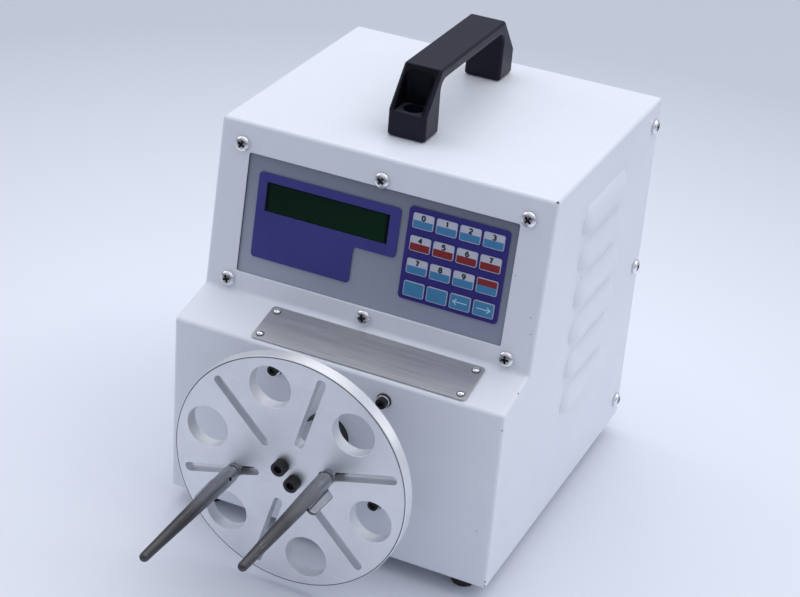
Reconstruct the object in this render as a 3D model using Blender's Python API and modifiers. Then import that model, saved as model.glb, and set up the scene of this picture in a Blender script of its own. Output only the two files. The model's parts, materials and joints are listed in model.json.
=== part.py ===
"""A tabletop wire coiling machine.

A stepped sheet-metal case carries a control panel, a nameplate and a carry handle. A motor behind
the lower front turns a slotted winding disc. Two tapered fingers stand on the disc, slide along
its slots, turn on their studs, and are clamped by levers. The machine stands on the plane Z = 0
and faces -Y. Sizes are in metres.
"""

import math

import bmesh
import bpy
from mathutils import Matrix, Vector

# Clearances
seat_gap = 0.0003
overrun = 0.002
merge_distance = 0.00001

# Case
case_width = 0.200
case_depth = 0.216
front_height = 0.112
shelf_depth = 0.0333
shelf_rise = 0.0078
panel_setback = 0.0147
panel_rise = 0.098
sheet = 0.0012
bend_radius = 0.0022
bottom_flange = 0.029
top_front = shelf_depth + panel_setback

# Louvres in both sides
louvre_count = 6
louvre_straight = 0.050
louvre_end = 0.0105
louvre_height = 0.0135
louvre_throw = 0.0036
louvre_pitch = 0.0231
louvre_low_lip = 0.0655
louvre_back_inset = 0.0867
louvre_middle = case_depth - louvre_back_inset

# Rear panel, base plate and feet
rear_flange = 0.012
rear_bend = 0.0015
base_thickness = 0.0015
base_inset = 0.0014
base_corner = 0.004
foot_height = 0.010
foot_radius = 0.0076
foot_toe_radius = 0.0066
foot_shoulder = 0.0020
foot_side_inset = 0.0190
foot_end_inset = 0.016
foot_recess_clearance = 0.0005
foot_recess_depth = 0.0040
foot_screw_length = 0.0138

# Fasteners
m3_radius = 0.0015
m4_radius = 0.0020
m5_radius = 0.0025
m6_radius = 0.0030
hole_clearance = 0.0004
pan_head_radius = 0.0044
pan_head_height = 0.0026
pan_edge_height = 0.0009
rivet_head_radius = 0.0026
rivet_head_height = 0.0014
rivet_edge_height = 0.0003
rivet_length = 0.0032
m3_head_radius = 0.0028
m3_head_height = 0.0018
m4_cap_radius = 0.0035
m4_cap_height = 0.0040
m5_cap_radius = 0.00425
m5_cap_height = 0.0050
m6_cap_radius = 0.0050
m6_cap_height = 0.0060
cap_edge_share = 0.125
hex_socket_share = 0.58
socket_depth_share = 0.55
nut_radius_share = 1.95
nut_height_share = 1.6
crown_shares = (0.6, 1.0)
side_screw_inset = 0.0075
side_screw_length = 0.0075
side_screw_heights = (0.0148, 0.1097, 0.2024)

# Carry handle
handle_length = 0.126
handle_width = 0.023
handle_height = 0.0375
handle_offset = -0.001
handle_front_share = 0.642857
handle_front = top_front + handle_front_share * (case_depth - top_front - handle_length)
handle_nut_room = 0.0010
handle_foot = 0.019
handle_draft = 0.001
handle_block_height = 0.0157
handle_slope = 0.0175
handle_bar = 0.0070
handle_arch_radius = 0.0035
handle_corner_radius = 0.0016
handle_edge_radius = 0.0012
handle_pocket_wall = 0.0038
handle_pocket_front = 0.0016
handle_pocket_back = 0.0150
handle_pocket_floor = 0.0150
handle_bore_radius = 0.0060
handle_hole_inset = 0.0085
handle_seat = 0.0040
handle_screw_length = 0.0120

# Window in the sloped panel, and the plate behind it
plate_side_gap = 0.0080
plate_width = case_width - plate_side_gap - plate_side_gap
window_lap = 0.0110
window_width = plate_width - window_lap - window_lap
window_low = 0.0120
window_high = 0.0820
window_corner = 0.0012
plate_low = 0.0012
plate_high = 0.0917
plate_corner = 0.003
plate_thickness = 0.0020
panel_screw_inset = 0.0065
panel_screw_span = plate_width - panel_screw_inset - panel_screw_inset
panel_screw_low = 0.0064
panel_screw_high = 0.0861
panel_screw_length = 0.0080

# Printed label, display, keypad and control board
overlay_thickness = 0.0006
overlay_corner = 0.0022
keypad_inset = 0.0154
keypad_width = 0.0588
keypad_right = plate_width / 2 - keypad_inset
keypad_left = keypad_right - keypad_width
label_inset = 0.0184
label_gap = 0.0046
label_step = 0.0254
label_left = label_inset - plate_width / 2
label_right = keypad_left - label_gap
label_low = 0.0230
label_step_right = label_right - label_step
label_step_height = 0.0445
label_high = 0.0730
display_left_margin = 0.0053
display_right_margin = 0.0061
display_left = label_left + display_left_margin
display_right = label_right - display_right_margin
display_low = 0.0509
display_high = 0.0680
display_recess = 0.0003
module_margin = 0.0040
module_thickness = 0.0042
keypad_low = 0.0234
keypad_high = 0.0764
keypad_lap = 0.0012
key_columns = 4
key_rows = 4
key_side_margin = 0.0089
key_top_margin = 0.0074
key_first_column = keypad_left + key_side_margin
key_first_row = keypad_high - key_top_margin
key_column_pitch = 0.01378
key_row_pitch = 0.0130
key_width = 0.0123
key_height = 0.0086
key_corner = 0.0011
key_proud = 0.0005
key_flange = 0.0004
key_flange_thickness = 0.0010
key_stem_radius = 0.0017
key_travel = 0.0005
key_slack = 0.0001
board_depth = 0.0100
board_thickness = 0.0016
board_left_inset = 0.0140
board_right_inset = 0.0090
board_left = board_left_inset - plate_width / 2
board_right = plate_width / 2 - board_right_inset
board_low = 0.018
board_high = 0.080
board_hole_inset = 0.0045
standoff_radius = 0.0030
switch_size = 0.0060
switch_height = 0.0034
chip_first = 0.0135
chip_pitch = 0.0390
chip_length = 0.026
chip_width = 0.012
chip_height = 0.003
chip_count = 3
connector_first = 0.0180
connector_length = 0.034
connector_width = 0.007
connector_height = 0.008

# Nameplate on the shelf
nameplate_left = -0.0531
nameplate_right = 0.0763
nameplate_low = 0.0022
nameplate_high = 0.0305
nameplate_thickness = 0.0008
nameplate_corner = 0.0022
nameplate_hole_inset = 0.0041

# Motor
spindle_x = -0.0020
spindle_height = 0.0673
motor_screw_span = 0.0660
motor_screw_length = 0.0100
motor_washer_radius = 0.0043
motor_washer_thickness = 0.0010
motor_size = 0.0820
motor_corner = 0.0060
motor_flange = 0.0080
motor_boss_radius = 0.0132
motor_boss_height = 0.0055
stator_length = 0.0560
rear_bell_length = 0.0150
rear_bell_wall = 0.0020
rotor_radius = 0.0210
rotor_length = 0.0460
air_gap = 0.0006
bearing_radius = 0.0110
bearing_width = 0.0070
bearing_inset = 0.0015
bearing_race = 0.0014
bearing_shield_step = 0.0004
spindle_clearance = 0.0020
spindle_tail = 0.0030

# Spindle, hub and winding disc
spindle_radius = 0.0060
spindle_chamfer = 0.0006
hub_radius = 0.0128
hub_gap = 0.0008
hub_bore_depth = 0.0190
hub_chamfer = 0.0008
hub_grub_radius = 0.0020
hub_grub_place = 0.0100
disc_radius = 0.0695
disc_thickness = 0.0080
disc_face = 0.0454
disc_chamfer = 0.0005
disc_slot_turn = 15.0
disc_hole_turn = 45.0
disc_pattern_count = 6
slot_inner = 0.0185
slot_outer = 0.0650
slot_width = 0.0052
disc_hole_radius = 0.0124
disc_hole_circle = 0.0515
disc_screw_circle = 0.0055
disc_screw_turn = 135.0
disc_screw_length = 0.0160

# Places of the two winding fingers on the disc: radius, slot angle, lever angle
left_circle = 0.0335
left_slot_turn = 195.0
left_lever_turn = 207.0
right_circle = 0.0245
right_slot_turn = 15.0
right_lever_turn = -29.0

# Winding fingers and their clamps, from the disc face outwards
slot_nut_length = 0.0110
slot_nut_width = 0.0090
slot_nut_thickness = 0.0040
slot_nut_corner = 0.0010
stud_radius = 0.0023
stud_head_radius = 0.0042
stud_head_height = 0.0022
washer_radius = 0.0042
washer_thickness = 0.0013
collar_radius = 0.0034
collar_height = 0.0017
fork_radius = 0.0028
fork_height = 0.0160
fork_slack = 0.0003
finger_reach = 0.0955
finger_base_radius = 0.0046
finger_tip_radius = 0.0026
finger_straight = 0.0090
finger_chamfer = 0.0005
finger_bore_clearance = 0.0003
finger_bore_end = 0.0170
finger_bore_cone = 0.0016
finger_hole_radius = 0.0012
finger_hole_height = 0.0119
finger_groove_slack = 0.0005
finger_groove_end = 0.0340
finger_groove_radius = 0.0030
lever_thickness = 0.0020
lever_pin_radius = 0.0010
lever_pivot_out = 0.0008
lever_pivot_height = 0.0130
lever_heel_radius = 0.0024
lever_inner = 0.0016
lever_knuckle_out = 0.0046
lever_knuckle_height = 0.0086
lever_corner_out = 0.0094
lever_corner_height = 0.0104
lever_corner_radius = 0.0006
lever_nose_out = 0.0058
lever_nose_height = 0.0280
lever_nose_radius = 0.0030
lever_shoulder_height = 0.0235
lever_heel_end = 300.0
lever_corner_start = -70.0
lever_nose_start = -10.0
lever_nose_end = 150.0

# Power inlet and rocker switch in the rear panel, seen from behind
inlet_right = 0.055
inlet_height = 0.045
inlet_width = 0.0270
inlet_body_height = 0.0200
inlet_corner = 0.0030
inlet_rim = 0.0022
inlet_flange = 0.0020
inlet_depth = 0.0220
socket_width = 0.0240
socket_height = 0.0160
socket_depth = 0.0170
socket_corner = 0.0035
blade_width = 0.0040
blade_thickness = 0.0020
blade_length = 0.0110
blade_spacing = 0.0070
blade_earth_rise = 0.0020
blade_line_drop = 0.0020
switch_right = 0.018
switch_width = 0.0130
switch_body_height = 0.0195
switch_corner = 0.0006
switch_rim = 0.0018
switch_flange = 0.0018
switch_depth = 0.0160
switch_cavity_depth = 0.0110
rocker_width = 0.0100
rocker_height = 0.0150
rocker_valley = 0.0012
rocker_rise = 0.0030
rocker_body = 0.0050
rocker_side_gap = 0.0004
rocker_end_gap = 0.0009
rocker_turn = 8.0

# Power supply on the base plate
supply_width = 0.098
supply_depth = 0.052
supply_height = 0.036
supply_left = -0.064
supply_back_gap = 0.0340
supply_front = case_depth - supply_back_gap - supply_depth
supply_corner = 0.001
supply_terminal_depth = 0.012
supply_terminal_height = 0.016
supply_screw_inset = 0.008
supply_screw_length = 0.0060

# Angles in degrees, and counts of facets
quarter_turn = 90
half_turn = 180
full_turn = 360
smooth_turn = 30
rubber_smooth_turn = 40
bevel_least_turn = 40
round_steps = 24
small_steps = 12
fastener_steps = 10
coarse_steps = 8
fine_steps = 32
hole_steps = 20
disc_steps = 80
slot_end_steps = 6
stud_steps = 16
finger_tip_steps = 5
lever_heel_steps = 14
lever_corner_steps = 3
lever_nose_steps = 9
corner_steps = 4
window_corner_steps = 3
handle_corner_steps = 3
tight_corner_steps = 2
edge_steps = 2
louvre_steps = 16
louvre_rings = 7
hexagon_sides = 6

# Sizes that several pieces share
case_height = front_height + shelf_rise + panel_rise
panel_turn = math.atan2(panel_rise, panel_setback)
shelf_turn = math.atan2(shelf_rise, shelf_depth)
base_height = foot_height + seat_gap
base_low = sheet + seat_gap
base_top = base_low + base_thickness
rear_face = case_depth - seat_gap
rocker_angle = math.radians(rocker_turn)
rocker_reach = rocker_height / 2 * math.sin(rocker_angle) + rocker_rise * math.cos(rocker_angle)
rear_reach = rear_face + seat_gap + max(rocker_reach, inlet_flange)
front_reach = disc_face + finger_reach
middle = (rear_reach - front_reach) / 2
plate_face = -sheet - seat_gap
plate_back = plate_face - plate_thickness
overlay_back = plate_face + seat_gap
overlay_face = overlay_back + overlay_thickness
switch_top = -board_depth + switch_height
key_stem_end = switch_top + key_travel + key_slack
motor_front = -sheet - seat_gap
stator_front = motor_front - motor_flange - seat_gap
stator_back = stator_front - stator_length
rear_bell_front = stator_back - seat_gap
rear_bell_back = rear_bell_front - rear_bell_length
front_bearing_face = motor_boss_height - bearing_inset
rear_bearing_face = rear_bell_front - bearing_inset
spindle_end = rear_bearing_face - bearing_width - spindle_tail
hub_back = motor_boss_height + hub_gap
disc_back = disc_face - disc_thickness
hub_face = disc_back - seat_gap
collar_low = seat_gap + washer_thickness + seat_gap
collar_top = collar_low + collar_height
finger_base = collar_top + seat_gap
lever_shoulder = lever_shoulder_height - lever_pivot_height

# Colours and finishes: base colour, roughness, metallic
finishes = {
    "white_powder_coat": ((0.78, 0.80, 0.86), 0.45, 0.0),
    "grey_panel": ((0.16, 0.18, 0.23), 0.5, 0.0),
    "violet_print": ((0.035, 0.03, 0.19), 0.45, 0.0),
    "display_glass": ((0.006, 0.02, 0.014), 0.12, 0.0),
    "module_metal": ((0.10, 0.10, 0.11), 0.4, 0.6),
    "circuit_board": ((0.01, 0.12, 0.05), 0.5, 0.0),
    "key_print": ((0.45, 0.50, 0.62), 0.4, 0.0),
    "bright_steel": ((0.72, 0.72, 0.74), 0.22, 1.0),
    "brushed_steel": ((0.62, 0.62, 0.63), 0.35, 1.0),
    "black_oxide": ((0.02, 0.02, 0.022), 0.45, 0.6),
    "satin_aluminium": ((0.66, 0.67, 0.70), 0.38, 0.9),
    "gunmetal": ((0.20, 0.20, 0.20), 0.36, 0.9),
    "black_plastic": ((0.018, 0.019, 0.027), 0.5, 0.0),
    "black_rubber": ((0.012, 0.012, 0.013), 0.8, 0.0),
    "bearing_steel": ((0.5, 0.5, 0.52), 0.25, 1.0),
    "core_steel": ((0.22, 0.22, 0.24), 0.5, 0.8),
    "zinc_plate": ((0.42, 0.43, 0.45), 0.4, 0.9),
}

# Turns an outline drawn in XY so that its X runs along Y, its Y up, and its thickness along X
across = Matrix(((0, 0, 1, 0), (1, 0, 0, 0), (0, 1, 0, 0), (0, 0, 0, 1)))
upright = Matrix.Rotation(math.radians(quarter_turn), 4, "X")
towards_x = Matrix.Rotation(math.radians(quarter_turn), 4, "Y")
flipped = Matrix.Rotation(math.radians(half_turn), 4, "X")
mirrored = Matrix.Scale(-1, 4, (1, 0, 0))

materials = {}
collections = {}


def clear_scene():
    for item in list(bpy.data.objects):
        bpy.data.objects.remove(item)


def make_collections():
    for name in ("wire_coiling_machine", "cutters"):
        collections[name] = bpy.data.collections.new(name)
        bpy.context.scene.collection.children.link(collections[name])


def make_materials():
    for name, (colour, roughness, metallic) in finishes.items():
        material = bpy.data.materials.new(name)
        material.use_nodes = True
        shader = material.node_tree.nodes["Principled BSDF"]
        shader.inputs["Base Color"].default_value = (*colour, 1.0)
        shader.inputs["Roughness"].default_value = roughness
        shader.inputs["Metallic"].default_value = metallic
        material.diffuse_color = (*colour, 1.0)
        materials[name] = material


# Pieces, frames and cutters


def make_frame(name, parent=None, location=(0, 0, 0), rotation=(0, 0, 0)):
    """An empty that carries the pieces modelled in its local axes."""
    frame = bpy.data.objects.new(name, None)
    frame.empty_display_size = bend_radius
    collections["wire_coiling_machine"].objects.link(frame)
    frame.parent = parent
    frame.location = location
    frame.rotation_euler = rotation
    return frame


def as_mesh(name, shape):
    """Turns a bmesh into a mesh; a finished mesh is handed back as it is."""
    if isinstance(shape, bpy.types.Mesh):
        return shape
    bmesh.ops.recalc_face_normals(shape, faces=shape.faces)
    mesh = bpy.data.meshes.new(name)
    shape.to_mesh(mesh)
    shape.free()
    return mesh


def add_piece(name, shape, finish, parent, location=(0, 0, 0), rotation=(0, 0, 0), smooth=None):
    """Makes one named piece. Smooth is the angle above which its edges stay sharp."""
    mesh = as_mesh(name, shape)
    piece = bpy.data.objects.new(name, mesh)
    collections["wire_coiling_machine"].objects.link(piece)
    piece.parent = parent
    piece.location = location
    piece.rotation_euler = rotation
    if not mesh.materials:
        mesh.materials.append(materials[finish])
    if smooth is not None:
        mesh.shade_smooth()
        mesh.set_sharp_from_angle(angle=math.radians(smooth))
    return piece


def add_tool(name, shape, parent=None, location=(0, 0, 0), rotation=(0, 0, 0)):
    """Makes a shape that is only cut out of a piece, or joined to it."""
    tool = bpy.data.objects.new(name, as_mesh(name, shape))
    collections["cutters"].objects.link(tool)
    tool.parent = parent
    tool.location = location
    tool.rotation_euler = rotation
    tool.hide_render = True
    tool.display_type = "WIRE"
    return tool


def apply_tools(piece, operation, *tools):
    for tool in tools:
        step = piece.modifiers.new(tool.name, "BOOLEAN")
        step.operation = operation
        step.solver = "EXACT"
        step.object = tool


def cut(piece, *tools):
    apply_tools(piece, "DIFFERENCE", *tools)


def join(piece, *tools):
    apply_tools(piece, "UNION", *tools)


def add_bevel(piece, width, segments=1):
    """Rounds or chamfers every sharp edge."""
    step = piece.modifiers.new("rounded edges", "BEVEL")
    step.width = width
    step.segments = segments
    step.limit_method = "ANGLE"
    step.angle_limit = math.radians(bevel_least_turn)


def finished(piece, *tools):
    """The mesh that the modifiers give. The piece and its tools are then removed."""
    bpy.context.view_layer.update()
    graph = bpy.context.evaluated_depsgraph_get()
    mesh = bpy.data.meshes.new_from_object(piece.evaluated_get(graph))
    for item in (piece, *tools):
        bpy.data.objects.remove(item)
    return mesh


# Outlines and closed shapes


def polar(radius, degrees, height=0):
    angle = math.radians(degrees)
    return Vector((radius * math.cos(angle), radius * math.sin(angle), height))


def arc(centre, radius, start, end, steps):
    """Points along an arc, with its angles in degrees."""
    middle_point = Vector((*centre, 0))
    turns = [start + (end - start) * i / steps for i in range(steps + 1)]
    return [tuple((middle_point + polar(radius, turn)).xy) for turn in turns]


def ring_points(radius, steps):
    return arc((0, 0), radius, 0, full_turn, steps)[:-1]


def rounded_outline(corners, steps=corner_steps):
    """Fillets the corners (x, y, radius) of a polygon, whether they point out or in."""
    outline = []
    for i, (x, y, radius) in enumerate(corners):
        here = Vector((x, y))
        if not radius:
            outline.append((x, y))
            continue
        before = (Vector(corners[i - 1][:2]) - here).normalized()
        after = (Vector(corners[(i + 1) % len(corners)][:2]) - here).normalized()
        half_angle = before.angle(after) / 2
        centre = here + (before + after).normalized() * radius / math.sin(half_angle)
        first = here + before * radius / math.tan(half_angle) - centre
        last = here + after * radius / math.tan(half_angle) - centre
        start = math.atan2(first.y, first.x)
        turn = math.atan2(first.x * last.y - first.y * last.x, first.dot(last))
        end = start + turn
        outline += arc(centre, radius, math.degrees(start), math.degrees(end), steps)
    return outline


def rounded_rectangle(left, right, low, high, radius, steps=corner_steps):
    corners = ((left, low), (right, low), (right, high), (left, high))
    return rounded_outline([(x, y, radius) for x, y in corners], steps)


def stadium(inner, outer, width):
    """A slot's outline along X, with round ends."""
    radius = width / 2
    far = arc((outer - radius, 0), radius, -quarter_turn, quarter_turn, slot_end_steps)
    near_end = quarter_turn + half_turn
    near = arc((inner + radius, 0), radius, quarter_turn, near_end, slot_end_steps)
    return far + near


def prism(outline, low, high):
    """A flat outline in XY, extruded along Z from low to high."""
    shape = bmesh.new()
    face = shape.faces.new([shape.verts.new((x, y, low)) for x, y in outline])
    grown = bmesh.ops.extrude_face_region(shape, geom=[face])["geom"]
    top = [v for v in grown if isinstance(v, bmesh.types.BMVert)]
    bmesh.ops.translate(shape, vec=(0, 0, high - low), verts=top)
    return shape


def box(low, high):
    shape = bmesh.new()
    bmesh.ops.create_cube(shape, size=1)
    low, high = Vector(low), Vector(high)
    bmesh.ops.scale(shape, vec=high - low, verts=shape.verts)
    bmesh.ops.translate(shape, vec=(low + high) / 2, verts=shape.verts)
    return shape


def cylinder(radius, low, high, steps=round_steps):
    """A cylinder about Z from low to high."""
    shape = bmesh.new()
    bmesh.ops.create_cone(
        shape, cap_ends=True, segments=steps, radius1=radius, radius2=radius, depth=high - low
    )
    bmesh.ops.translate(shape, vec=(0, 0, (low + high) / 2), verts=shape.verts)
    return shape


def moved(shape, matrix):
    bmesh.ops.transform(shape, matrix=matrix, verts=shape.verts)
    return shape


def copies(shape, places):
    """One bmesh with the shape at each place, which is a point or a matrix."""
    mesh = as_mesh("copied", shape)
    whole = bmesh.new()
    for place in places:
        matrix = place if isinstance(place, Matrix) else Matrix.Translation(place)
        start = len(whole.verts)
        whole.from_mesh(mesh)
        whole.verts.ensure_lookup_table()
        bmesh.ops.transform(whole, matrix=matrix, verts=whole.verts[start:])
    return whole


def gather(*shapes):
    """Puts several shapes into one bmesh, as separate bodies."""
    whole = bmesh.new()
    for shape in shapes:
        whole.from_mesh(as_mesh("gathered", shape))
    return whole


def turned(profile, steps=round_steps):
    """A shape turned about Z from its profile (radius, height), which runs down its outer side."""
    shape = bmesh.new()
    points = [shape.verts.new((radius, 0, height)) for radius, height in profile]
    for first, second in zip(points, points[1:]):
        shape.edges.new((first, second))
    if profile[0][0] > 0:
        shape.edges.new((points[-1], points[0]))
    mesh = bpy.data.meshes.new("turned")
    shape.to_mesh(mesh)
    shape.free()
    blank = bpy.data.objects.new("turned", mesh)
    collections["cutters"].objects.link(blank)
    screw = blank.modifiers.new("turn", "SCREW")
    screw.steps = steps
    screw.render_steps = steps
    screw.use_merge_vertices = True
    screw.merge_threshold = merge_distance
    return finished(blank)


def turned_ring(outer, inner, low, high, steps=round_steps):
    return turned([(outer, high), (outer, low), (inner, low), (inner, high)], steps)


def grid(xs, ys, height=0):
    return [(x, y, height) for x in xs for y in ys]


# Fasteners: the head stands on Z = 0 and the shank hangs below it


def cap_screw(radius, head_radius, head_height, length, washer=(0, 0)):
    """A socket-head screw. The washer is the radius and thickness of one joined under the head."""
    edge = head_height * cap_edge_share
    profile = [
        (0, head_height),
        (head_radius - edge, head_height),
        (head_radius, head_height - edge),
        (head_radius, 0),
    ]
    if washer[0]:
        profile += [(washer[0], 0), (washer[0], -washer[1]), (radius, -washer[1])]
    else:
        profile.append((radius, 0))
    profile += [(radius, -length), (0, -length)]
    body = add_tool("cap_screw", turned(profile, fastener_steps))
    low = head_height * (1 - socket_depth_share)
    hexagon = ring_points(head_radius * hex_socket_share, hexagon_sides)
    socket = add_tool("screw_socket", prism(hexagon, low, head_height + overrun))
    cut(body, socket)
    return finished(body, socket)


def domed_head(radius, height, edge):
    """The profile of a low dome, from its top to its edge."""
    profile = [(0, height)]
    for share in crown_shares:
        profile.append((radius * share, edge + (height - edge) * math.sqrt(1 - share * share)))
    return profile


def pan_screw(length):
    """A screw with a domed head."""
    profile = domed_head(pan_head_radius, pan_head_height, pan_edge_height)
    profile += [(pan_head_radius, 0), (m4_radius, 0), (m4_radius, -length), (0, -length)]
    return turned(profile, fastener_steps)


def nut(radius, top, low=None):
    """A hexagon nut, joined to the screw that it is on."""
    if low is None:
        low = top - radius * nut_height_share
    return prism(ring_points(radius * nut_radius_share, hexagon_sides), low, top)


# The case


def side_outline():
    """The case seen from its side: distance back, and height."""
    return [
        (0, 0),
        (case_depth, 0),
        (case_depth, case_height),
        (shelf_depth + panel_setback, case_height),
        (shelf_depth, front_height + shelf_rise),
        (0, front_height),
    ]


def case_skin():
    """The case's outer skin: open at the back, with a rim turned in around the bottom."""
    skin = moved(prism(side_outline(), -case_width / 2, case_width / 2), across)
    bmesh.ops.recalc_face_normals(skin, faces=skin.faces)
    bottom = min(skin.faces, key=lambda face: face.calc_center_median().z)
    back = max(skin.faces, key=lambda face: face.calc_center_median().y)
    bmesh.ops.inset_individual(skin, faces=[bottom], thickness=bottom_flange)
    rims = [edge.link_faces for edge in bottom.edges]
    strips = {face for pair in rims for face in pair} - {bottom}
    rear_strip = max(strips, key=lambda face: face.calc_center_median().y)
    bmesh.ops.delete(skin, geom=[bottom, back, rear_strip], context="FACES")
    return skin


def louvre_form(inwards, low, root):
    """A long hood with round ends, kept above its low edge and outside its root plane."""
    form = bmesh.new()
    bmesh.ops.create_uvsphere(form, u_segments=louvre_steps, v_segments=louvre_rings, radius=1)
    moved(form, upright)
    bmesh.ops.scale(form, vec=(louvre_throw, louvre_end, louvre_height), verts=form.verts)
    for vertex in form.verts:
        vertex.co.y += math.copysign(louvre_straight / 2, vertex.co.y)
    bmesh.ops.translate(form, vec=(-inwards, 0, 0), verts=form.verts)
    for point, normal in (((0, 0, low), (0, 0, 1)), ((root, 0, 0), (1, 0, 0))):
        geometry = list(form.verts) + list(form.edges) + list(form.faces)
        split = bmesh.ops.bisect_plane(
            form, geom=geometry, plane_co=point, plane_no=normal, clear_inner=True
        )
        rim = [item for item in split["geom_cut"] if isinstance(item, bmesh.types.BMEdge)]
        bmesh.ops.edgeloop_fill(form, edges=rim)
    return form


def louvre_places():
    """Where the louvres stand on the right side and, mirrored, on the left."""
    places = []
    for i in range(louvre_count):
        lip = louvre_low_lip + i * louvre_pitch
        place = Matrix.Translation((case_width / 2, louvre_middle, lip))
        places += [place, mirrored @ place]
    return places


def side_screw_places(distance):
    """Places on both sides of the case, with Z pointing out of the side."""
    places = []
    for height in side_screw_heights:
        back = case_depth - side_screw_inset
        for side in (1, -1):
            turn = Matrix.Rotation(math.radians(side * quarter_turn), 4, "Y")
            places.append(Matrix.Translation((side * distance, back, height)) @ turn)
    return places


def foot_places(height=0):
    half = case_width / 2 - foot_side_inset
    return grid((-half, half), (foot_end_inset, case_depth - foot_end_inset), height)


def handle_hole_places(height=0):
    front = handle_front + handle_hole_inset
    back = handle_front + handle_length - handle_hole_inset
    return grid((handle_offset,), (front, back), height)


def panel_screw_places(height=0):
    half = panel_screw_span / 2
    return grid((-half, 0, half), (panel_screw_low, panel_screw_high), height)


def motor_screw_places(height=0):
    half = motor_screw_span / 2
    return grid((-half, half), (-half, half), height)


def nameplate_hole_places(height=0):
    inset = nameplate_hole_inset
    xs = (nameplate_left + inset, nameplate_right - inset)
    return grid(xs, (nameplate_low + inset, nameplate_high - inset), height)


def make_main_cover(root, shelf, panel, front):
    cover = add_piece("main_cover", case_skin(), "white_powder_coat", root, smooth=smooth_turn)
    add_bevel(cover, bend_radius, edge_steps)
    walls = cover.modifiers.new("sheet", "SOLIDIFY")
    walls.thickness = sheet
    walls.offset = -1
    walls.use_even_offset = True
    hoods = copies(louvre_form(0, 0, -sheet / 2), louvre_places())
    voids = copies(louvre_form(sheet, -seat_gap, -sheet - sheet), louvre_places())
    join(cover, add_tool("louvre_hoods", hoods, root))
    cut(cover, add_tool("louvre_voids", voids, root))
    half = window_width / 2
    window = rounded_rectangle(
        -half, half, window_low, window_high, window_corner, window_corner_steps
    )
    low, high = -sheet - overrun, overrun
    m4_hole = m4_radius + hole_clearance
    panel_holes = copies(cylinder(m4_hole, low, high, small_steps), panel_screw_places())
    openings = gather(prism(window, low, high), panel_holes)
    rivet_hole = cylinder(m3_radius + hole_clearance, low, high, small_steps)
    motor_holes = copies(cylinder(m4_hole, low, high, small_steps), motor_screw_places())
    boss_hole = cylinder(motor_boss_radius + seat_gap, low, high)
    foot_hole = cylinder(m4_hole, -overrun, sheet + overrun, small_steps)
    handle_hole = cylinder(
        m6_radius + hole_clearance, case_height + low, case_height + high, small_steps
    )
    side_hole = cylinder(m4_hole, low, high, small_steps)
    cut(
        cover,
        add_tool("panel_openings", openings, panel),
        add_tool("rivet_holes", copies(rivet_hole, nameplate_hole_places()), shelf),
        add_tool("motor_holes", gather(motor_holes, boss_hole), front),
        add_tool("foot_holes", copies(foot_hole, foot_places()), root),
        add_tool("handle_holes", copies(handle_hole, handle_hole_places()), root),
        add_tool(
            "side_holes", copies(side_hole, side_screw_places(case_width / 2)), root
        ),
    )


def make_rear_panel(root, rear):
    """The rear panel: a plate with flanges turned forwards inside the cover's walls.

    The six screws that hold the cover are joined to its flanges.
    """
    half = case_width / 2 - sheet - seat_gap
    low = base_top + seat_gap
    high = case_height - sheet - seat_gap
    skin = box((-half, rear_face - rear_flange, low), (half, rear_face, high))
    front = min(skin.faces, key=lambda face: face.calc_center_median().y)
    bottom = min(skin.faces, key=lambda face: face.calc_center_median().z)
    bmesh.ops.recalc_face_normals(skin, faces=skin.faces)
    bmesh.ops.delete(skin, geom=[front, bottom], context="FACES")
    panel = add_piece("rear_panel", skin, "white_powder_coat", root, smooth=smooth_turn)
    add_bevel(panel, rear_bend, edge_steps)
    walls = panel.modifiers.new("sheet", "SOLIDIFY")
    walls.thickness = sheet
    walls.offset = -1
    walls.use_even_offset = True
    depth = sheet + overrun
    inlet = rear_cutout(inlet_right, inlet_width, inlet_body_height, inlet_corner, depth)
    switch = rear_cutout(switch_right, switch_width, switch_body_height, switch_corner, depth)
    cut(panel, add_tool("rear_cutouts", gather(inlet, switch), rear))
    # Room for the handle's rear nut, wherever the handle reaches back over the top flange
    x, y, z = handle_hole_places()[-1]
    nut_room = cylinder(m6_radius * nut_radius_share + handle_nut_room, high - rear_flange, high + overrun)
    cut(panel, add_tool("handle_nut_room", nut_room, root, (x, y, z)))
    places = side_screw_places(case_width / 2 + seat_gap)
    flange_middle = -seat_gap - sheet - seat_gap - sheet / 2
    nuts = nut(m4_radius, flange_middle, flange_middle - m4_radius * nut_height_share)
    join(
        panel,
        add_tool("cover_screws", copies(pan_screw(side_screw_length), places), root),
        add_tool("cover_nuts", copies(nuts, places), root),
    )


def rear_cutout(right, width, height, corner, depth):
    """The opening that a rear fitting's body snaps into."""
    outline = rounded_rectangle(
        right - width / 2 - seat_gap,
        right + width / 2 + seat_gap,
        inlet_height - height / 2 - seat_gap,
        inlet_height + height / 2 + seat_gap,
        corner,
        tight_corner_steps,
    )
    return prism(outline, -depth, overrun)


def make_base(root):
    """The base plate. The screws that hold the feet are joined to it."""
    half = case_width / 2 - sheet - base_inset
    back = rear_face - sheet - seat_gap
    outline = rounded_rectangle(-half, half, sheet + base_inset, back, base_corner)
    plate = add_piece("base_plate", prism(outline, base_low, base_top), "zinc_plate", root)
    m3_hole = cylinder(m3_radius + hole_clearance, 0, base_top + overrun, small_steps)
    cut(plate, add_tool("base_supply_holes", copies(m3_hole, supply_screw_places()), root))
    head = -base_height + foot_recess_depth - seat_gap
    places = [Matrix.Translation(place) @ flipped for place in foot_places(head)]
    plate_middle = head - (base_low + base_top) / 2
    join(
        plate,
        add_tool("foot_screws", copies(pan_screw(foot_screw_length), places), root),
        add_tool("foot_nuts", copies(nut(m4_radius, plate_middle), places), root),
    )


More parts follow.
